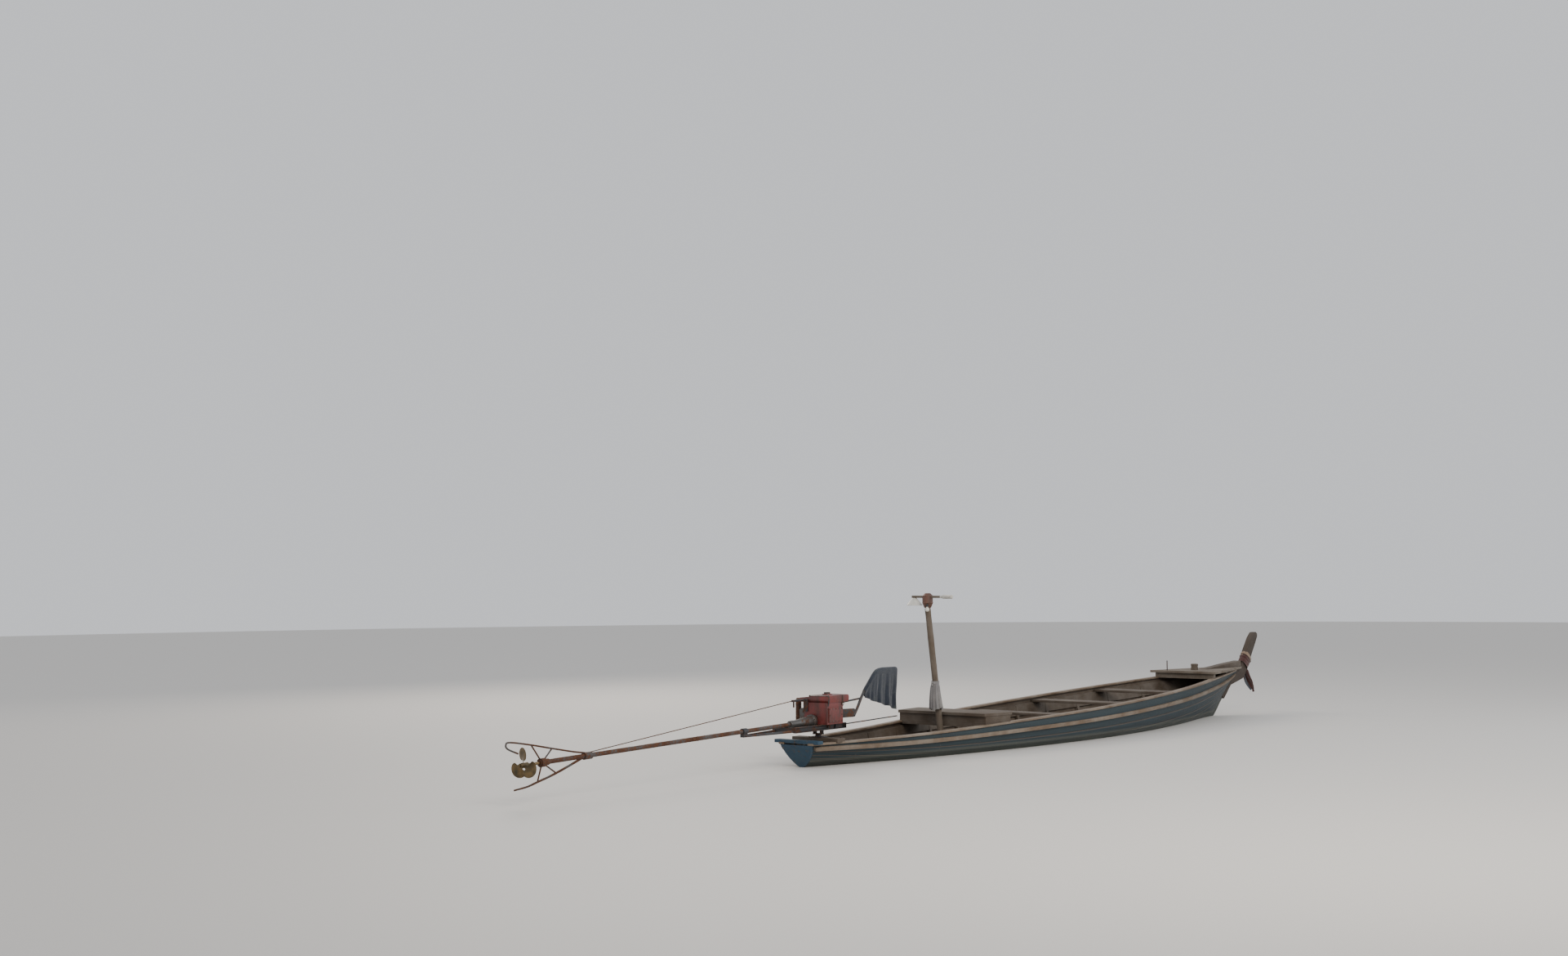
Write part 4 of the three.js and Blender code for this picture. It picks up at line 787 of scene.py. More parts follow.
def enamel(name, fresh, dull, chips, oil, shine=0.32):
    """Sprayed enamel that has dulled, with grime run down it and chips to the rust."""
    s = Shades(name)
    even = s.place()
    broad = s.noise(even, 4.5, 5.0, 0.6)
    fine = s.noise(even, 30.0, 8.0, 0.72)
    skin = s.noise(even, 120.0, 2.0, 0.5)
    colour = s.mix(s.above(broad, 0.35, 0.7), fresh, dull)
    grime = s.times(s.above(s.noise(s.place("Object", (1.0, 1.0, 0.35)), 9.0, 6.0, 0.65), 0.46, 0.66), oil)
    colour = s.mix(grime, colour, (0.022, 0.017, 0.013))
    chip = s.ramp(fine, (chips, 0.0), (chips + 0.025, 1.0))
    colour = s.mix(chip, colour, s.ramp(skin, (0.35, (0.060, 0.030, 0.018)), (0.65, (0.17, 0.075, 0.035))))
    s.bumps((skin, 0.00025), (chip, -0.0005))
    rough = s.math("ADD", s.ramp(broad, (0.2, shine), (0.8, shine + 0.25)), s.times(chip, 0.35))
    return s.done(colour, rough, Specular_IOR_Level=0.5, Coat_Weight=0.15, Coat_Roughness=0.3)


engine_red = enamel("engine_paint", (0.165, 0.018, 0.015), (0.098, 0.026, 0.022), chips=0.62, oil=0.8)
for node in ("engine_block", "engine_hopper"):
    finished(node, "motor", engine_red, 0.005)
tank = finished("fuel_tank", "motor", engine_red, 0.005)
tank.data.materials.append(dark_steel)
CAP_FROM = PIVOT.z + 0.383
for face in tank.data.polygons:
    if face.center.z > CAP_FROM:
        face.material_index = 1
cast_iron = rusty_steel("cast_parts", (0.075, 0.072, 0.068), 0.30, 0.42, metal=0.6)
for node in ("cylinder_head", "starting_dog"):
    finished(node, "motor", cast_iron, 0.003)
lathed("tail_housing_turned", tail_point(0), aft_way,
       [(0.250, 0), (0.250, 0.052), (0.1185, 0.052), (0.1185, 0.077), (0.1195, 0.078), (0.153, 0.078),
        (0.155, 0.0765), (0.155, 0.069), (0.159, 0.0655), (0.20, 0.0620), (0.27, 0.0560), (0.35, 0.0485),
        (0.41, 0.0430), (0.430, 0.0408), (0.505, 0.040), (0.507, 0.0425), (0.523, 0.0425), (0.525, 0.040),
        (0.557, 0.040), (0.560, 0.038), (0.560, 0.0243), (0.300, 0.0243), (0.300, 0)], cast_iron, "motor",
       ["tail_housing"])
burnt_steel = rusty_steel("burnt_steel", (0.050, 0.036, 0.028), 0.78, 0.7, metal=0.2)
SILENCER_FOOT = in_motor(0.020, 0.302, 0)
lathed("silencer_can", SILENCER_FOOT, UP,
       [(0.046, 0), (0.046, 0.028), (0.296, 0.028), (0.296, 0.017), (0.3215, 0.017), (0.3225, 0.0195),
        (0.3215, 0.022), (0.302, 0.0332), (0.299, 0.034), (0.259, 0.034), (0.257, 0.0356), (0.247, 0.0356),
        (0.245, 0.034), (0.100, 0.034), (0.098, 0.0356), (0.088, 0.0356), (0.086, 0.034), (0.043, 0.034),
        (0.040, 0.031), (0.040, 0)], burnt_steel, "motor", ["silencer"])
lathed("silencer_branch", in_motor(0.020, 0.2623, 0.150), port_way,
       [(0, 0), (0, 0.027), (0.0045, 0.027), (0.005, 0.018), (0.0095, 0.018), (0.0095, 0)], burnt_steel,
       "motor", (), 28)


def loft(bm, sections, meets=False):
    """A skin from one ring of places to the next, whose ends are closed or meet each other."""
    rings = [[bm.verts.new(place) for place in section] for section in sections]
    count = len(rings[0])
    for a, b in zip(rings, rings[1:] + rings[:1] if meets else rings[1:]):
        for k in range(count):
            bm.faces.new((a[k], a[(k + 1) % count], b[(k + 1) % count], b[k]))
    if not meets:
        bm.faces.new(rings[0])
        bm.faces.new(rings[-1])
    bmesh.ops.recalc_face_normals(bm, faces=bm.faces)


def heading(points, i):
    """The direction of a line of points at one of them."""
    return (points[min(i + 1, len(points) - 1)] - points[max(i - 1, 0)]).normalized()


def strap_bar(name, path, width_way, width, thickness, material):
    """A flat strap bent along a path on the motor."""
    rows = []
    for i, place in enumerate(path):
        ahead = heading(path, i)
        out = ahead.cross(width_way).normalized()
        wide, thick = width_way * (width / 2), out * (thickness / 2)
        rows.append([place - wide - thick, place + wide - thick, place + wide + thick, place - wide + thick])
    bm = bmesh.new()
    loft(bm, rows)
    ease_edges(bm, 1.2, thickness * 0.3)
    belongs(new_object(name, bm, material, radians(50)), "motor")


STRAP_WIDTH, STRAP_THICK = 0.024, 0.0022
for name, x in (("aft", -0.090), ("fore", 0.182)):
    bends = [(-0.2152, 0.246), (-0.2152, 0.268), (-0.2180, 0.276), (-0.2235, 0.284), (-0.2235, 0.350),
             (-0.2225, 0.363), (-0.2170, 0.3690), (-0.2080, 0.3696), (0.0440, 0.3696), (0.0520, 0.3690),
             (0.0572, 0.363), (0.0578, 0.350), (0.0578, 0.2925), (0.0590, 0.2875), (0.0608, 0.2865)]
    if name == "fore":
        bends += [(0.0660, 0.2865), (0.0880, 0.2865)]
    path = [in_motor(x, y, z) for y, z in bends]
    strap_bar(f"tank_strap_{name}", path, fore_way, STRAP_WIDTH, STRAP_THICK, dark_steel)


def rod(name, points, radius, material, body, steps=64, sides=14, nodes=()):
    """A bent pipe or rod along a smooth line through points."""
    places = [on_line(points, i / steps) for i in range(steps + 1)]
    sections, side = [], None
    for i, place in enumerate(places):
        ahead = heading(places, i)
        side = (ahead.orthogonal() if side is None else side - ahead * side.dot(ahead)).normalized()
        other = ahead.cross(side)
        sections.append([place + (side * cos(tau * k / sides) + other * sin(tau * k / sides)) * radius
                         for k in range(sides)])
    bm = bmesh.new()
    loft(bm, sections)
    belongs(new_object(name, bm, material, radians(40)), body, nodes)


pipe_copper = dull_iron("pipe_copper", (0.115, 0.062, 0.038), (0.205, 0.115, 0.070))
lathed("injection_pump", in_motor(0.150, 0.146, 0.104), UP,
       [(0, 0), (0, 0.022), (0.003, 0.024), (0.040, 0.024), (0.043, 0.019), (0.080, 0.018), (0.083, 0.012),
        (0.096, 0.012), (0.098, 0.007), (0.102, 0.007), (0.102, 0)], cast_iron, "motor", (),
       32)
lathed("injector", in_motor(0.050, 0.221, 0.207), UP,
       [(0, 0), (0, 0.016), (0.008, 0.016), (0.010, 0.0095), (0.034, 0.0095), (0.036, 0.0055),
        (0.044, 0.0055), (0.044, 0)], cast_iron, "motor", (), 28)
rod("injector_pipe", motor_line((0.150, 0.146, 0.198), (0.150, 0.147, 0.226), (0.143, 0.164, 0.250),
                                (0.122, 0.192, 0.266), (0.086, 0.214, 0.272), (0.058, 0.221, 0.268),
                                (0.050, 0.221, 0.246)), 0.0032, dark_steel, "motor")
rod("fuel_pipe", motor_line((0.250, -0.190, 0.2850), (0.250, -0.190, 0.262), (0.247, -0.184, 0.240),
                            (0.238, -0.160, 0.229), (0.226, -0.110, 0.228), (0.217, -0.040, 0.232),
                            (0.214, 0.040, 0.236), (0.209, 0.100, 0.232), (0.192, 0.137, 0.214),
                            (0.172, 0.146, 0.186), (0.160, 0.146, 0.172)), 0.0042, pipe_copper, "motor")
lathed("fuel_union", in_motor(0.250, -0.190, 0.2853), -UP,
       [(0, 0), (0, 0.0095), (0.011, 0.0095), (0.012, 0.0065), (0.018, 0.0065), (0.018, 0)], dark_steel,
       "motor", (), 6)
COVER_COLUMNS = (-0.078, -0.020, 0.042, 0.104, 0.162)
COVER_ROWS = ((0.070, COVER_COLUMNS), (0.142, (-0.078, 0.162)), (0.213, COVER_COLUMNS))
RING_Y, RING_Z, RING_RADIUS, RING_BOLTS = -0.044, 0.144, 0.079, 10
FLANGE_AFT, FLANGE_RADIUS, FLANGE_BOLTS = 0.155, 0.0717, 8
motor_bolts = [(in_motor(x, -0.228, z), -port_way) for z, columns in COVER_ROWS for x in columns]
for turn in range(RING_BOLTS):
    angle = tau * turn / RING_BOLTS + 0.3
    y, z = RING_Y + RING_RADIUS * cos(angle), RING_Z + RING_RADIUS * sin(angle)
    if y > -0.104:
        motor_bolts.append((in_motor(0.200, y, z), fore_way))
motor_bolts += [(in_motor(0.212, y, z), fore_way) for y in (-0.186, -0.124) for z in (0.098, 0.186)]
motor_bolts += [(in_motor(x, 0.262, z), port_way) for x in (-0.004, 0.068) for z in (0.086, 0.180)]
motor_bolts += [(in_motor(x, 0.157, 0.0503), UP) for x in (-0.060, 0.145)]
motor_bolts += [(in_motor(x, -0.2163, 0.258), -port_way) for x in (-0.090, 0.182)]
motor_bolts.append((in_motor(0.182, 0.076, 0.2876), UP))
for turn in range(FLANGE_BOLTS):
    angle = tau * (turn + 0.5) / FLANGE_BOLTS
    spoke = (port_way * cos(angle) + UP * sin(angle)) * FLANGE_RADIUS
    motor_bolts.append((tail_point(FLANGE_AFT) + spoke, aft_way.normalized()))
fixings("engine_bolts", motor_bolts, "motor", nail_iron, radius=0.0072, height=0.0062, sides=6,
        top_share=0.93)

# Guard round the propeller
# A round bar bent into a hook over the propeller and a flat skeg under it,
# both welded to the fore collar on the tail. Four braces run out to them from
# the bearing at the tail's end, where the after collar is clamped.
GUARD_LINE = [tail_point(3.960, 0.028), tail_point(4.150, 0.060)] + motor_line(
    (-4.458, 0, 0.080), (-4.755, 0, 0.136), (-5.040, 0, 0.180), (-5.096, 0, 0.160), (-5.070, 0, 0.118),
    (-4.932, 0, 0.064))
rod("guard_rod", GUARD_LINE, 0.009, tail_steel, "motor", 112, 16, ["propeller_guard"])
SKEG_TOP = motor_line((-3.985, 0, -0.010), (-4.034, 0, -0.038), (-4.400, 0, -0.156),
                      (-4.664, 0, -0.223), (-4.811, 0, -0.258), (-4.985, 0, -0.278))
SKEG_DEPTH, SKEG_TIP_DEPTH = 0.028, 0.016
SKEG_HALF, SKEG_STEPS = 0.005, 60
skeg_sections = []
for i in range(SKEG_STEPS + 1):
    share = i / SKEG_STEPS
    top = on_line(SKEG_TOP, share)
    under = top - UP * (SKEG_DEPTH + (SKEG_TIP_DEPTH - SKEG_DEPTH) * share)
    half = port_way * SKEG_HALF
    skeg_sections.append([top + half, top - half, under - half, under + half])
skeg_mesh = bmesh.new()
loft(skeg_mesh, skeg_sections)
ease_edges(skeg_mesh, 1.2, 0.0015)
belongs(new_object("guard_skeg", skeg_mesh, tail_steel, radians(50)), "motor")
BRACE_RADIUS = 0.008
BORE_CLEAR = 0.0165
BRACE_ENDS = ((4.750, 0.133), (4.458, 0.082), (4.664, -0.232), (4.400, -0.168))
for n, (aft, up) in enumerate(BRACE_ENDS):
    weld, far_end = tail_point(4.600), in_motor(-aft, 0, up)
    way = (far_end - weld).normalized()
    lean = abs(way.dot(aft_way.normalized()))
    # Each brace ends in the bearing's wall, short of the bore in which the shaft turns.
    begin = weld + way * (BORE_CLEAR + BRACE_RADIUS * lean) / sqrt(1 - lean ** 2)
    straight_bar(f"guard_brace_{n + 1}", begin, far_end, BRACE_RADIUS, tail_steel, ())
GUARD_COLLARS = (("fore", 3.895, 4.005, 0.0243, 0.038), ("aft", 4.570, 4.630, 0.0333, 0.044))
for name, begin, end, bore, radius in GUARD_COLLARS:
    eased = radius - 0.002
    profile = [(begin, bore), (begin, eased), (begin + 0.002, radius), (end - 0.002, radius), (end, eased),
               (end, bore)]
    lathed(f"guard_collar_{name}", tail_point(0), aft_way, profile, tail_steel, "motor")

# Propeller
# Cast bronze with three paddle-shaped blades, dull and stained green in its
# hollows, held on its shaft by a nut.


def old_bronze():
    """Cast bronze, dull on the blades and green where water stands."""
    s = Shades("bronze")
    even = s.place()
    broad = s.noise(even, 14.0, 5.0, 0.6)
    fine = s.noise(even, 90.0, 6.0, 0.7)
    colour = s.mix(s.above(broad, 0.35, 0.65), (0.200, 0.130, 0.058), (0.090, 0.072, 0.044))
    colour = s.mix(s.times(s.above(fine, 0.55, 0.62), 0.6), colour, (0.075, 0.110, 0.085))
    s.bumps((fine, 0.0003), (broad, 0.0004))
    return s.done(colour, s.ramp(broad, (0.3, 0.32), (0.7, 0.6)), Metallic=0.85)


bronze = old_bronze()
PROPELLER_AFT = 4.855
PROPELLER_RADIUS = 0.174
BLADE_CHORD = 0.168
BLADE_MIDDLE, BLADE_ROOT = 0.66, 0.15
BLADE_STALK = 0.036
BLADE_EDGE, BLADE_SWELL = 0.0018, 0.0060
BLADE_FOOT, BLADE_LEAD = 0.38, 0.052
BLADE_SIDES, BLADE_STEPS, TIP_STEPS = 32, 20, 18
screw_fore = -aft_way.normalized()
screw_up = screw_fore.cross(port_way)


def blade_section(share, turn):
    """A blade's section at a share of its radius: an ellipse on a short stalk gives its width."""
    reach = 1 - BLADE_MIDDLE if share > BLADE_MIDDLE else BLADE_FOOT
    paddle = BLADE_CHORD * sqrt(max(1 - ((share - BLADE_MIDDLE) / reach) ** 2, 0))
    stalk = BLADE_STALK if share < BLADE_MIDDLE else 0.0
    chord = (paddle ** 4 + stalk ** 4) ** 0.25
    radius = share * PROPELLER_RADIUS
    pitch = atan(BLADE_LEAD / (radius + 0.012))
    section = []
    for k in range(BLADE_SIDES):
        a = tau * k / BLADE_SIDES
        c = chord / 2 * cos(a)
        y = c * cos(pitch)
        z = sqrt(max(radius ** 2 - y ** 2, 0))
        x = c * sin(pitch) + (BLADE_EDGE + BLADE_SWELL * (1 - share) ** 2) * sin(a)
        spoke = port_way * (y * cos(turn) - z * sin(turn)) + screw_up * (y * sin(turn) + z * cos(turn))
        section.append(tail_point(PROPELLER_AFT) + screw_fore * x + spoke)
    return section


blade_shares = [BLADE_ROOT + (BLADE_MIDDLE - BLADE_ROOT) * i / BLADE_STEPS for i in range(BLADE_STEPS + 1)]
for i in range(1, TIP_STEPS + 1):
    blade_shares.append(BLADE_MIDDLE + (1 - BLADE_MIDDLE) * sin(pi / 2 * i / (TIP_STEPS + 0.5)))
blade_mesh = bmesh.new()
for i in range(3):
    loft(blade_mesh, [blade_section(share, radians(120 * i - 5)) for share in blade_shares])
belongs(new_object("propeller_blades", blade_mesh, bronze, radians(60)), "screw", ["propeller"])
lathed("propeller_hub", tail_point(PROPELLER_AFT), screw_fore,
       [(-0.050, 0), (-0.050, 0.022), (-0.047, 0.0242), (0.048, 0.0298), (0.052, 0.027), (0.052, 0.015),
        (0.325, 0.015), (0.325, 0)], bronze, "screw")
lathed("propeller_nut", tail_point(PROPELLER_AFT), screw_fore,
       [(-0.075, 0), (-0.075, 0.0135), (-0.072, 0.017), (-0.0503, 0.017), (-0.0503, 0)], bronze, "screw",
       (), 6)

# Lamps on the masthead
# A lamp in a brown tin body in the middle with a bulb beside it, a bulb under
# a white shade on the port end of the arm, and a short lamp tube on the
# starboard end.
white_enamel = enamel("lamp_enamel", (0.62, 0.61, 0.57), (0.46, 0.44, 0.38), chips=0.70, oil=0.35, shine=0.3)
brown_enamel = enamel("lamp_brown", (0.105, 0.040, 0.026), (0.150, 0.075, 0.050), chips=0.64, oil=0.5,
                      shine=0.42)
LAMP_X = -2.425
ARM_UNDER = 1.920
lathed("lamp_body_turned", Vector((LAMP_X, 0, 1.7962)), UP,
       [(-0.016, 0), (-0.016, 0.032), (0, 0.032), (0, 0.041), (0.003, 0.044), (0.057, 0.0665),
        (0.061, 0.070), (0.067, 0.070), (0.070, 0.067), (0.144, 0.067), (0.148, 0.070), (0.153, 0.069),
        (0.170, 0.051), (0.184, 0.036), (0.185, 0.030), (0.185, 0)], brown_enamel, "hull",
       ["lamp_body"])
SHADE_AT = Vector((LAMP_X, 0.205, ARM_UNDER - 0.0083))
lathed("lamp_shade_spun", SHADE_AT, UP,
       [(0.008, 0), (0.008, 0.026), (0.003, 0.033), (-0.016, 0.0475), (-0.038, 0.0680), (-0.060, 0.0860),
        (-0.076, 0.0985), (-0.080, 0.1015), (-0.0845, 0.1015), (-0.0860, 0.0990), (-0.0840, 0.0965),
        (-0.058, 0.0780), (-0.036, 0.0600), (-0.012, 0.0380), (-0.001, 0.025), (-0.001, 0)], white_enamel,
       "hull", ["lamp_shade"], 48)
lathed("lamp_tube_turned", Vector((LAMP_X, -0.2003, ARM_UNDER + 0.015)), Vector((0, -1, 0)),
       [(0, 0), (0, 0.017), (0.034, 0.017), (0.036, 0.021), (0.040, 0.025), (0.158, 0.025), (0.161, 0.0262),
        (0.168, 0.0262), (0.171, 0.025), (0.180, 0.022), (0.1847, 0.015), (0.1847, 0)], white_enamel,
       "hull", ["lamp_tube"], 32)


def milk_glass():
    """Dusty opal glass of a lamp."""
    s = Shades("milk_glass")
    dust = s.noise(s.place(), 45.0, 5.0, 0.65)
    colour = s.mix(s.above(dust, 0.4, 0.7), (0.72, 0.70, 0.63), (0.46, 0.43, 0.36))
    return s.done(colour, s.ramp(dust, (0.35, 0.12), (0.7, 0.42)), Specular_IOR_Level=0.6, Coat_Weight=0.3)


opal = milk_glass()
BULB = [(0.022, 0), (0.022, 0.0105), (0.030, 0.0130), (0.040, 0.0210), (0.052, 0.0285), (0.063, 0.0305),
        (0.074, 0.0280), (0.083, 0.0200), (0.088, 0.0105), (0.0895, 0)]
lathed("shade_socket", SHADE_AT, -UP, [(0.0005, 0), (0.0005, 0.0150), (0.004, 0.0160), (0.020, 0.0150),
                                       (0.026, 0.0125), (0.026, 0)], dark_steel, "hull", (), 28)
lathed("shade_bulb", SHADE_AT, -UP, [(a - 0.004, r * 0.9) for a, r in BULB], opal, "hull")
SIDE_LAMP = Vector((-2.497, -0.046, 1.838))
rod("side_lamp_arm", [Vector((-2.445, -0.014, 1.842)), Vector((-2.470, -0.028, 1.849)),
                      Vector((-2.490, -0.042, 1.848)), SIDE_LAMP], 0.0045, dark_steel, "hull", 24)
lathed("side_lamp_socket", SIDE_LAMP, -UP,
       [(-0.003, 0), (-0.003, 0.0090), (0.003, 0.0150), (0.024, 0.0150), (0.027, 0.0125), (0.027, 0)],
       dark_steel, "hull", (), 28)
lathed("side_lamp_bulb", SIDE_LAMP, -UP, [(a, r * 0.85) for a, r in BULB], opal, "hull")

# Cloth over the tiller
# A dark blue-grey cotton cloth, thrown over the steering arm to shade its
# grip. It hangs on both sides under its own weight, its folds deepening to
# the hem; it is lighter towards its top, and it is blotched with stains.
def woven(name, fresh, faded, stain, thread=0.0012, lighter_from=None):
    """Plain-woven cotton along the cloth's own map in metres, lighter above a height when one is given."""
    s = Shades(name)
    threads = s.place("cloth")
    even = s.place()
    count = tau / 20 / thread
    warp, weft = s.wave(threads, "X", count, 0.4), s.wave(threads, "Y", count, 0.4)
    slub = s.noise(s.place("cloth", (4.0, 90.0, 1.0)), 6.0, 4.0, 0.6)
    broad = s.noise(even, 5.0, 5.0, 0.6)
    blotch = s.noise(even, 11.0, 7.0, 0.7, 0.4)
    colour = s.mix(s.above(broad, 0.35, 0.7), fresh, faded)
    # The cloth is made lighter towards its top, above the given height.
    if lighter_from:
        low, high = lighter_from
        top_lightening = s.node("ShaderNodeMapRange",
                     {0: s.split(even)["Z"], 1: low, 2: high, 3: 0.0, 4: 0.75}).outputs[0]
        colour = s.mix(top_lightening, colour, faded)
    colour = s.mix(s.times(s.above(blotch, 0.54, 0.66), 0.55), colour, stain)
    colour = s.mix(s.times(slub, 0.35), colour, tuple(c * 0.6 for c in fresh))
    # Painted shade between the threads: where neither warp nor weft rises, the cloth is darkened.
    thread_gap_shade = s.math("SUBTRACT", 1.0, s.math("MAXIMUM", warp, weft))
    colour = s.mix(s.times(thread_gap_shade, 0.8), colour, tuple(c * 0.4 for c in fresh))
    s.bumps((s.math("ADD", warp, weft), 0.00025), (slub, 0.0004), (blotch, 0.0006))
    return s.done(colour, s.ramp(broad, (0.2, 0.82), (0.8, 0.95)), Specular_IOR_Level=0.25,
                  Sheen_Weight=0.25, Sheen_Roughness=0.5)


def old_cotton(name, fresh, faded, stain):
    """Creased cotton of a knot, on the piece's own axes, with painted shade in its creases."""
    s = Shades(name)
    even = s.place()
    broad = s.noise(even, 30.0, 5.0, 0.6)
    creases = s.noise(s.place("Object", (1.0, 3.0, 1.0)), 120.0, 6.0, 0.7)
    colour = s.mix(s.above(broad, 0.35, 0.7), fresh, faded)
    # Painted shade in the creases: the cloth is darkened to the stain colour where the crease pattern rises.
    colour = s.mix(s.times(s.above(creases, 0.5, 0.62), 0.5), colour, stain)
    s.bumps((creases, 0.0006), (broad, 0.0010))
    return s.done(colour, 0.9, Specular_IOR_Level=0.25, Sheen_Weight=0.25, Sheen_Roughness=0.5)


def cloth_sheet(name, rows, thickness, material):
    """A sheet of cloth from rows of points, closed along its hems, with its own map in metres."""
    bm = bmesh.new()
    cloth_map = bm.loops.layers.uv.new("cloth")
    high, wide = len(rows), len(rows[0])
    middle = wide // 2
    down, across = [0.0], []
    for a, b in zip(rows, rows[1:]):
        down.append(down[-1] + (b[middle] - a[middle]).length)
    for row in rows:
        runs = [0.0]
        for a, b in zip(row, row[1:]):
            runs.append(runs[-1] + (b - a).length)
        across.append([r - runs[middle] for r in runs])
    front, back = [], []
    for i in range(high):
        front.append([])
        back.append([])
        for j in range(wide):
            along = rows[min(i + 1, high - 1)][j] - rows[max(i - 1, 0)][j]
            side = rows[i][min(j + 1, wide - 1)] - rows[i][max(j - 1, 0)]
            normal = along.cross(side).normalized()
            front[i].append(bm.verts.new(rows[i][j] + normal * thickness / 2))
            back[i].append(bm.verts.new(rows[i][j] - normal * thickness / 2))

    def patch(corners, places):
        mapped_face(bm, cloth_map, corners, [(across[i][j], down[i]) for i, j in places])

    for i in range(high - 1):
        for j in range(wide - 1):
            places = ((i, j), (i, j + 1), (i + 1, j + 1), (i + 1, j))
            patch([front[a][b] for a, b in places], places)
            patch([back[a][b] for a, b in reversed(places)], tuple(reversed(places)))
    rim = [(0, j) for j in range(wide)] + [(i, wide - 1) for i in range(1, high)]
    rim += [(high - 1, j) for j in range(wide - 2, -1, -1)] + [(i, 0) for i in range(high - 2, 0, -1)]
    for (i, j), (k, m) in zip(rim, rim[1:] + rim[:1]):
        patch((front[i][j], back[i][j], back[k][m], front[k][m]), ((i, j), (i, j), (k, m), (k, m)))
    bmesh.ops.recalc_face_normals(bm, faces=bm.faces)
    return new_object(name, bm, material, radians(60))


TILLER_Y = -0.150
POLE_PATH = [(0.700, 0.343), (0.760, 0.408), (0.860, 0.503), (0.940, 0.578), (0.985, 0.607), (1.040, 0.622),
             (1.100, 0.627), (1.200, 0.627), (1.385, 0.624), (1.420, 0.616)]
HEM_LINE = [(0.715, 0.345), (0.742, 0.298), (0.960, 0.240), (1.170, 0.190), (1.300, 0.152), (1.420, 0.122)]
POLE_OVER = 0.0195
CLOTH_FROM, CLOTH_TO = 0.722, 1.409
TILLER_CLOTH_ROWS, TILLER_CLOTH_STEPS = 110, 30


def between(table, x):
    """The height of a line of points at x."""
    for (x0, z0), (x1, z1) in zip(table, table[1:]):
        if x <= x1:
            return z0 + (z1 - z0) * (x - x0) / (x1 - x0)
    return table[-1][1]


def tiller_cloth_row(x):
    """One hanging line of the cloth: up the starboard side, over the pole and down to port."""
    over = between(POLE_PATH, x)
    slope = (between(POLE_PATH, x + 0.01) - between(POLE_PATH, x - 0.01)) / 0.02
    rise = POLE_OVER * hypot(1, slope)
    hem = between(HEM_LINE, x)
    wave = 0.55 * sin(44 * x + 0.6) + 0.35 * sin(79 * x + 2.1) + 0.3 * sin(21 * x + 4.0)
    parting = sin(33 * x + 1.0)
    row = []
    for side in (-1, 1):
        drop = over - hem - (0.028 if side > 0 else 0.0) * min(1.0, (over - hem) / 0.2)
        deep = min(drop / 0.45, 1.0)
        ladder = []
        for k in range(1, TILLER_CLOTH_STEPS + 1):
            q = k / TILLER_CLOTH_STEPS
            fold = wave * 0.021 * q ** 1.25 * deep
            apart = POLE_OVER * (1 - q) ** 1.5 + 0.006 + 0.003 * q * parting * side
            sway = 0.008 * cos(44 * x + 1.2) - 0.012 + 0.006 * sin(9 * q + side)
            height = over - q * drop + 0.005 * q * sin(27 * x + side)
            ladder.append(in_motor(x + q * deep * sway, TILLER_Y + side * apart + fold, height))
        arch = [in_motor(x, TILLER_Y + side * POLE_OVER * 1.15 * cos(a), over + rise * sin(a))
                for a in (tau * k / 18 for k in range(5))]
        row.append(list(reversed(ladder)) + arch if side < 0 else list(reversed(arch[:-1])) + ladder)
    crown = in_motor(x, TILLER_Y, over + rise)
    return row[0] + [crown] + row[1]


tiller_weave = woven("tiller_cloth_weave", (0.015, 0.020, 0.033), (0.040, 0.050, 0.068),
                     (0.110, 0.125, 0.110), lighter_from=(0.95, 1.10))
tiller_rows = []
for i in range(TILLER_CLOTH_ROWS + 1):
    tiller_rows.append(tiller_cloth_row(CLOTH_FROM + (CLOTH_TO - CLOTH_FROM) * i / TILLER_CLOTH_ROWS))
tiller_cloth = cloth_sheet("tiller_cloth_sheet", tiller_rows, 0.0018, tiller_weave)
belongs(tiller_cloth, "motor", ["tiller_cloth"])

# Cloth round the mast
# A washed pale cotton cloth, wound one and a third times round the pole above
# the bench and tied at its upper edge; its pleats open towards the hem.
MAST_CLOTH_TOP, MAST_CLOTH_DROP = 0.872, 0.352
MAST_CLOTH_ROWS, MAST_CLOTH_STEPS = 56, 180
MAST_CLOTH_TURNS = 1.33
TIED_AT, TIED_WIDTH = 0.10, 0.07


def on_mast(z):
    return MAST_FOOT.lerp(MAST_HEAD, (z - MAST_FOOT.z) / (MAST_HEAD.z - MAST_FOOT.z))


def mast_cloth_row(q):
    """One turn of the cloth round the mast, q from its tied edge to its hem."""
    axis = on_mast(MAST_CLOTH_TOP - MAST_CLOTH_DROP * q)
    aft = Vector((-0.030 * sin(min(q * 1.4, 1) * pi / 2), 0.008 * q, 0))
    tied = exp(-((q - TIED_AT) / TIED_WIDTH) ** 2)
    body = 0.047 + 0.029 * q ** 0.8 - 0.0015 * tied
    row = []
    for k in range(MAST_CLOTH_STEPS + 1):
        share = k / MAST_CLOTH_STEPS
        a = tau * MAST_CLOTH_TURNS * share + 2.4
        pleat = 0.5 + 0.5 * sin(11 * a + 1.5 * sin(2 * a) + 0.8 * q)
        out = body + (0.004 + 0.015 * q) * pleat * (1 - 0.7 * tied) + 0.0042 * share
        sag = 0.012 * q * sin(3 * a + 0.5) + 0.007 * q * sin(7 * a)
        row.append(axis + aft + Vector((out * cos(a), out * 0.92 * sin(a), sag)))
    return row


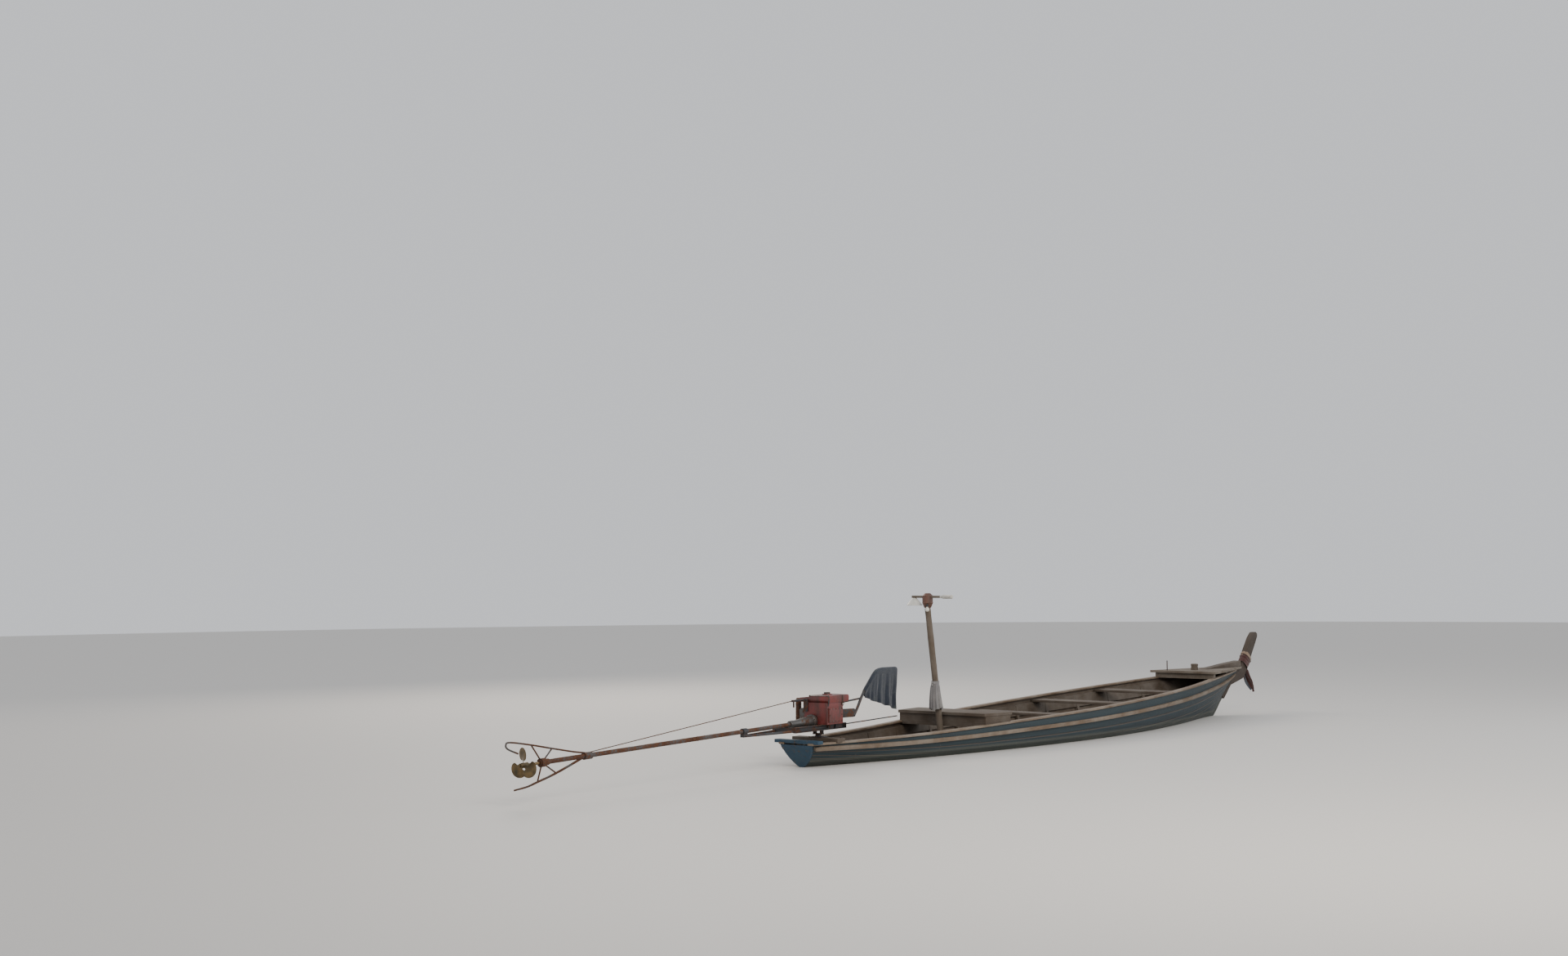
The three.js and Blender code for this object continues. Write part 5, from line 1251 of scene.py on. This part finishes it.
PALE_COTTON = (0.215, 0.205, 0.21), (0.36, 0.345, 0.325), (0.095, 0.078, 0.066)
pale_weave = woven("mast_cloth_weave", *PALE_COTTON, thread=0.0009)
mast_rows = [mast_cloth_row(i / MAST_CLOTH_ROWS) for i in range(MAST_CLOTH_ROWS + 1)]
mast_cloth = cloth_sheet("mast_cloth_sheet", mast_rows, 0.0014, pale_weave)
KNOT_SIZE = 0.0105
KNOT_STEPS, KNOT_SIDES = 96, 14
KNOT_WIDE, KNOT_THICK = 0.0085, 0.0062
KNOT_CENTRE = on_mast(0.838) + Vector((-0.074, -0.020, 0))


def knot_line(t):
    """A trefoil, which is how a plain overhand knot lies when drawn tight."""
    return KNOT_SIZE * Vector((0.7 * sin(3 * t), 0.8 * (sin(t) + 2 * sin(2 * t)),
                               0.8 * (cos(t) - 2 * cos(2 * t))))


knot_sections = []
for i in range(KNOT_STEPS):
    t = tau * i / KNOT_STEPS
    ahead = (knot_line(t + 0.02) - knot_line(t)).normalized()
    side = ahead.cross(Vector((1, 0, 0))).normalized()
    over = side.cross(ahead)
    ring = []
    for k in range(KNOT_SIDES):
        a = tau * k / KNOT_SIDES
        wide = KNOT_WIDE * (1 + 0.12 * sin(3 * a + 5 * t)) * cos(a)
        ring.append(KNOT_CENTRE + knot_line(t) + side * wide + over * KNOT_THICK * sin(a))
    knot_sections.append(ring)
knot_mesh = bmesh.new()
loft(knot_mesh, knot_sections, meets=True)
knot_cotton = old_cotton("mast_knot_cotton", *PALE_COTTON)
mast_knot = belongs(new_object("mast_cloth_knot", knot_mesh, knot_cotton, radians(70)), "hull")
belongs(mast_cloth, "hull", ["mast_cloth"])

# Cloths at the bow
# Long strips of cotton are wound round the stem head one over the other and
# tied, and their ends hang forward of it in a loose bunch: maroon that has
# darkened, a dull blue, and one faded strip.
STEM_AXIS_FOOT = Vector((5.9, 0, 0.64))
STEM_AXIS = Vector((0.65, 0, 0.76)).normalized()
STEM_AFT = Vector((-0.76, 0, 0.65)).normalized()
WRAP_FROM, WRAP_TURNS, WRAP_PITCH, WRAP_WIDTH = 0.082, 3.6, 0.048, 0.078
WRAP_ROWS_A_TURN, WRAP_STEPS = 84, 12
HEAD_DEEP, HEAD_HALF, HEAD_SQUARE = 0.101, 0.060, 0.74
maroon_weave = woven("maroon_cloth_weave", (0.055, 0.016, 0.014), (0.125, 0.048, 0.038),
                     (0.040, 0.030, 0.028))
blue_weave = woven("blue_cloth_weave", (0.028, 0.040, 0.062), (0.085, 0.100, 0.120), (0.050, 0.045, 0.040))
faded_weave = woven("faded_cloth_weave", (0.26, 0.165, 0.105), (0.38, 0.290, 0.215), (0.12, 0.085, 0.060))


def wound_strip(name, begin, turns, width, clear, material, creases, nodes=()):
    """A strip of cloth wound up the stem head, each turn over the edge of the last."""
    rows = []
    steps = int(turns * WRAP_ROWS_A_TURN)
    for i in range(steps + 1):
        turned = turns * i / steps
        a = tau * turned
        tuck = max(0.0, 1 - min(turned, turns - turned) / 0.16)
        row = []
        for k in range(WRAP_STEPS + 1):
            c = 0.5 + (k / WRAP_STEPS - 0.5) * (1 - 0.62 * tuck)
            d = begin + WRAP_PITCH * turned + width * c + 0.006 * sin(2 * a + 3 * c)
            crease = 0.0022 * sin(creases * c * pi + 1.7 * a) * sin(pi * c)
            lift = clear - 0.004 * tuck + 0.0062 * (1 - c) + crease
            centre = 0.008 - 0.065 * (d - 0.05)
            x = copysign(abs(cos(a)) ** HEAD_SQUARE, cos(a)) * (HEAD_DEEP + lift) + centre
            y = copysign(abs(sin(a)) ** HEAD_SQUARE, sin(a)) * (HEAD_HALF + lift)
            row.append(STEM_AXIS_FOOT + STEM_AXIS * d + STEM_AFT * x + Vector((0, y, 0)))
        rows.append(row)
    return belongs(cloth_sheet(name, rows, 0.0016, material), "hull", nodes)


lower_wrap = wound_strip("bow_wrap_lower", WRAP_FROM, WRAP_TURNS, WRAP_WIDTH, 0.0, maroon_weave, 3,
                         ["bow_wrap"])
upper_wrap = wound_strip("bow_wrap_upper", 0.232, 1.25, 0.050, 0.007, faded_weave, 2)

RIBBON_TOP = Vector((6.020, 0, 0.662))
RIBBON_TIP = Vector((6.325, 0, 0.302))
RIBBON_ROWS, RIBBON_STEPS = 48, 14
RIBBON_STRIPS = [
    # name, weave, in-plane bulge, bulge to port, width, curl, length share, twist
    ("bow_ribbon_maroon", maroon_weave, 0.044, 0.004, 0.112, 0.9, 1.0, 0.3),
    ("bow_ribbon_blue", blue_weave, -0.044, 0.012, 0.106, -0.8, 0.88, -0.4),
    ("bow_ribbon_dark", maroon_weave, 0.002, -0.026, 0.128, 1.1, 0.97, 0.35),
    ("bow_ribbon_faded", faded_weave, -0.010, 0.040, 0.070, -1.0, 0.74, 0.8),
    ("bow_ribbon_short", blue_weave, 0.026, 0.032, 0.096, 0.8, 0.70, -0.6),
    ("bow_ribbon_inner", maroon_weave, -0.016, 0.008, 0.110, 1.2, 0.84, -0.2),
]
ribbon_line = (RIBBON_TIP - RIBBON_TOP).normalized()
ribbon_side = Vector((-ribbon_line.z, 0, ribbon_line.x))
for n, (name, weave, bulge, to_port, width, curl, share, twist) in enumerate(RIBBON_STRIPS):
    rows = []
    for i in range(RIBBON_ROWS + 1):
        t = i / RIBBON_ROWS * share
        spread = sin(pi * min(t, 1.0) ** 0.85)
        place = RIBBON_TOP.lerp(RIBBON_TIP, t)
        place += ribbon_side * (bulge * spread + 0.008 * sin(9 * t + n))
        place += Vector((0, to_port * spread + 0.008 * sin(7 * t + 2 * n) * t, 0))
        narrow = (0.42 + 0.58 * sin(pi * min(t + 0.12, 1.0)) ** 0.6) * (1.0 if t < 0.9 * share else 0.8)
        facing = twist * (t - 0.3) + 0.35 * n
        flat_way = ribbon_side * cos(facing) + Vector((0, 1, 0)) * sin(facing)
        out_way = ribbon_line.cross(flat_way)
        row = []
        for k in range(RIBBON_STEPS + 1):
            c = (k / RIBBON_STEPS - 0.5) * 2
            ruffle = 0.0045 * sin(6.5 * c + 11 * t + n) * (0.4 + 0.6 * t)
            lift = curl * width * 0.16 * (c * c - 0.5) + ruffle
            row.append(place + flat_way * (c * width / 2 * narrow) + out_way * lift)
        rows.append(row)
    strip = cloth_sheet(name, rows, 0.0013, weave)
    belongs(strip, "hull", ["bow_ribbon"] if n == 0 else ())
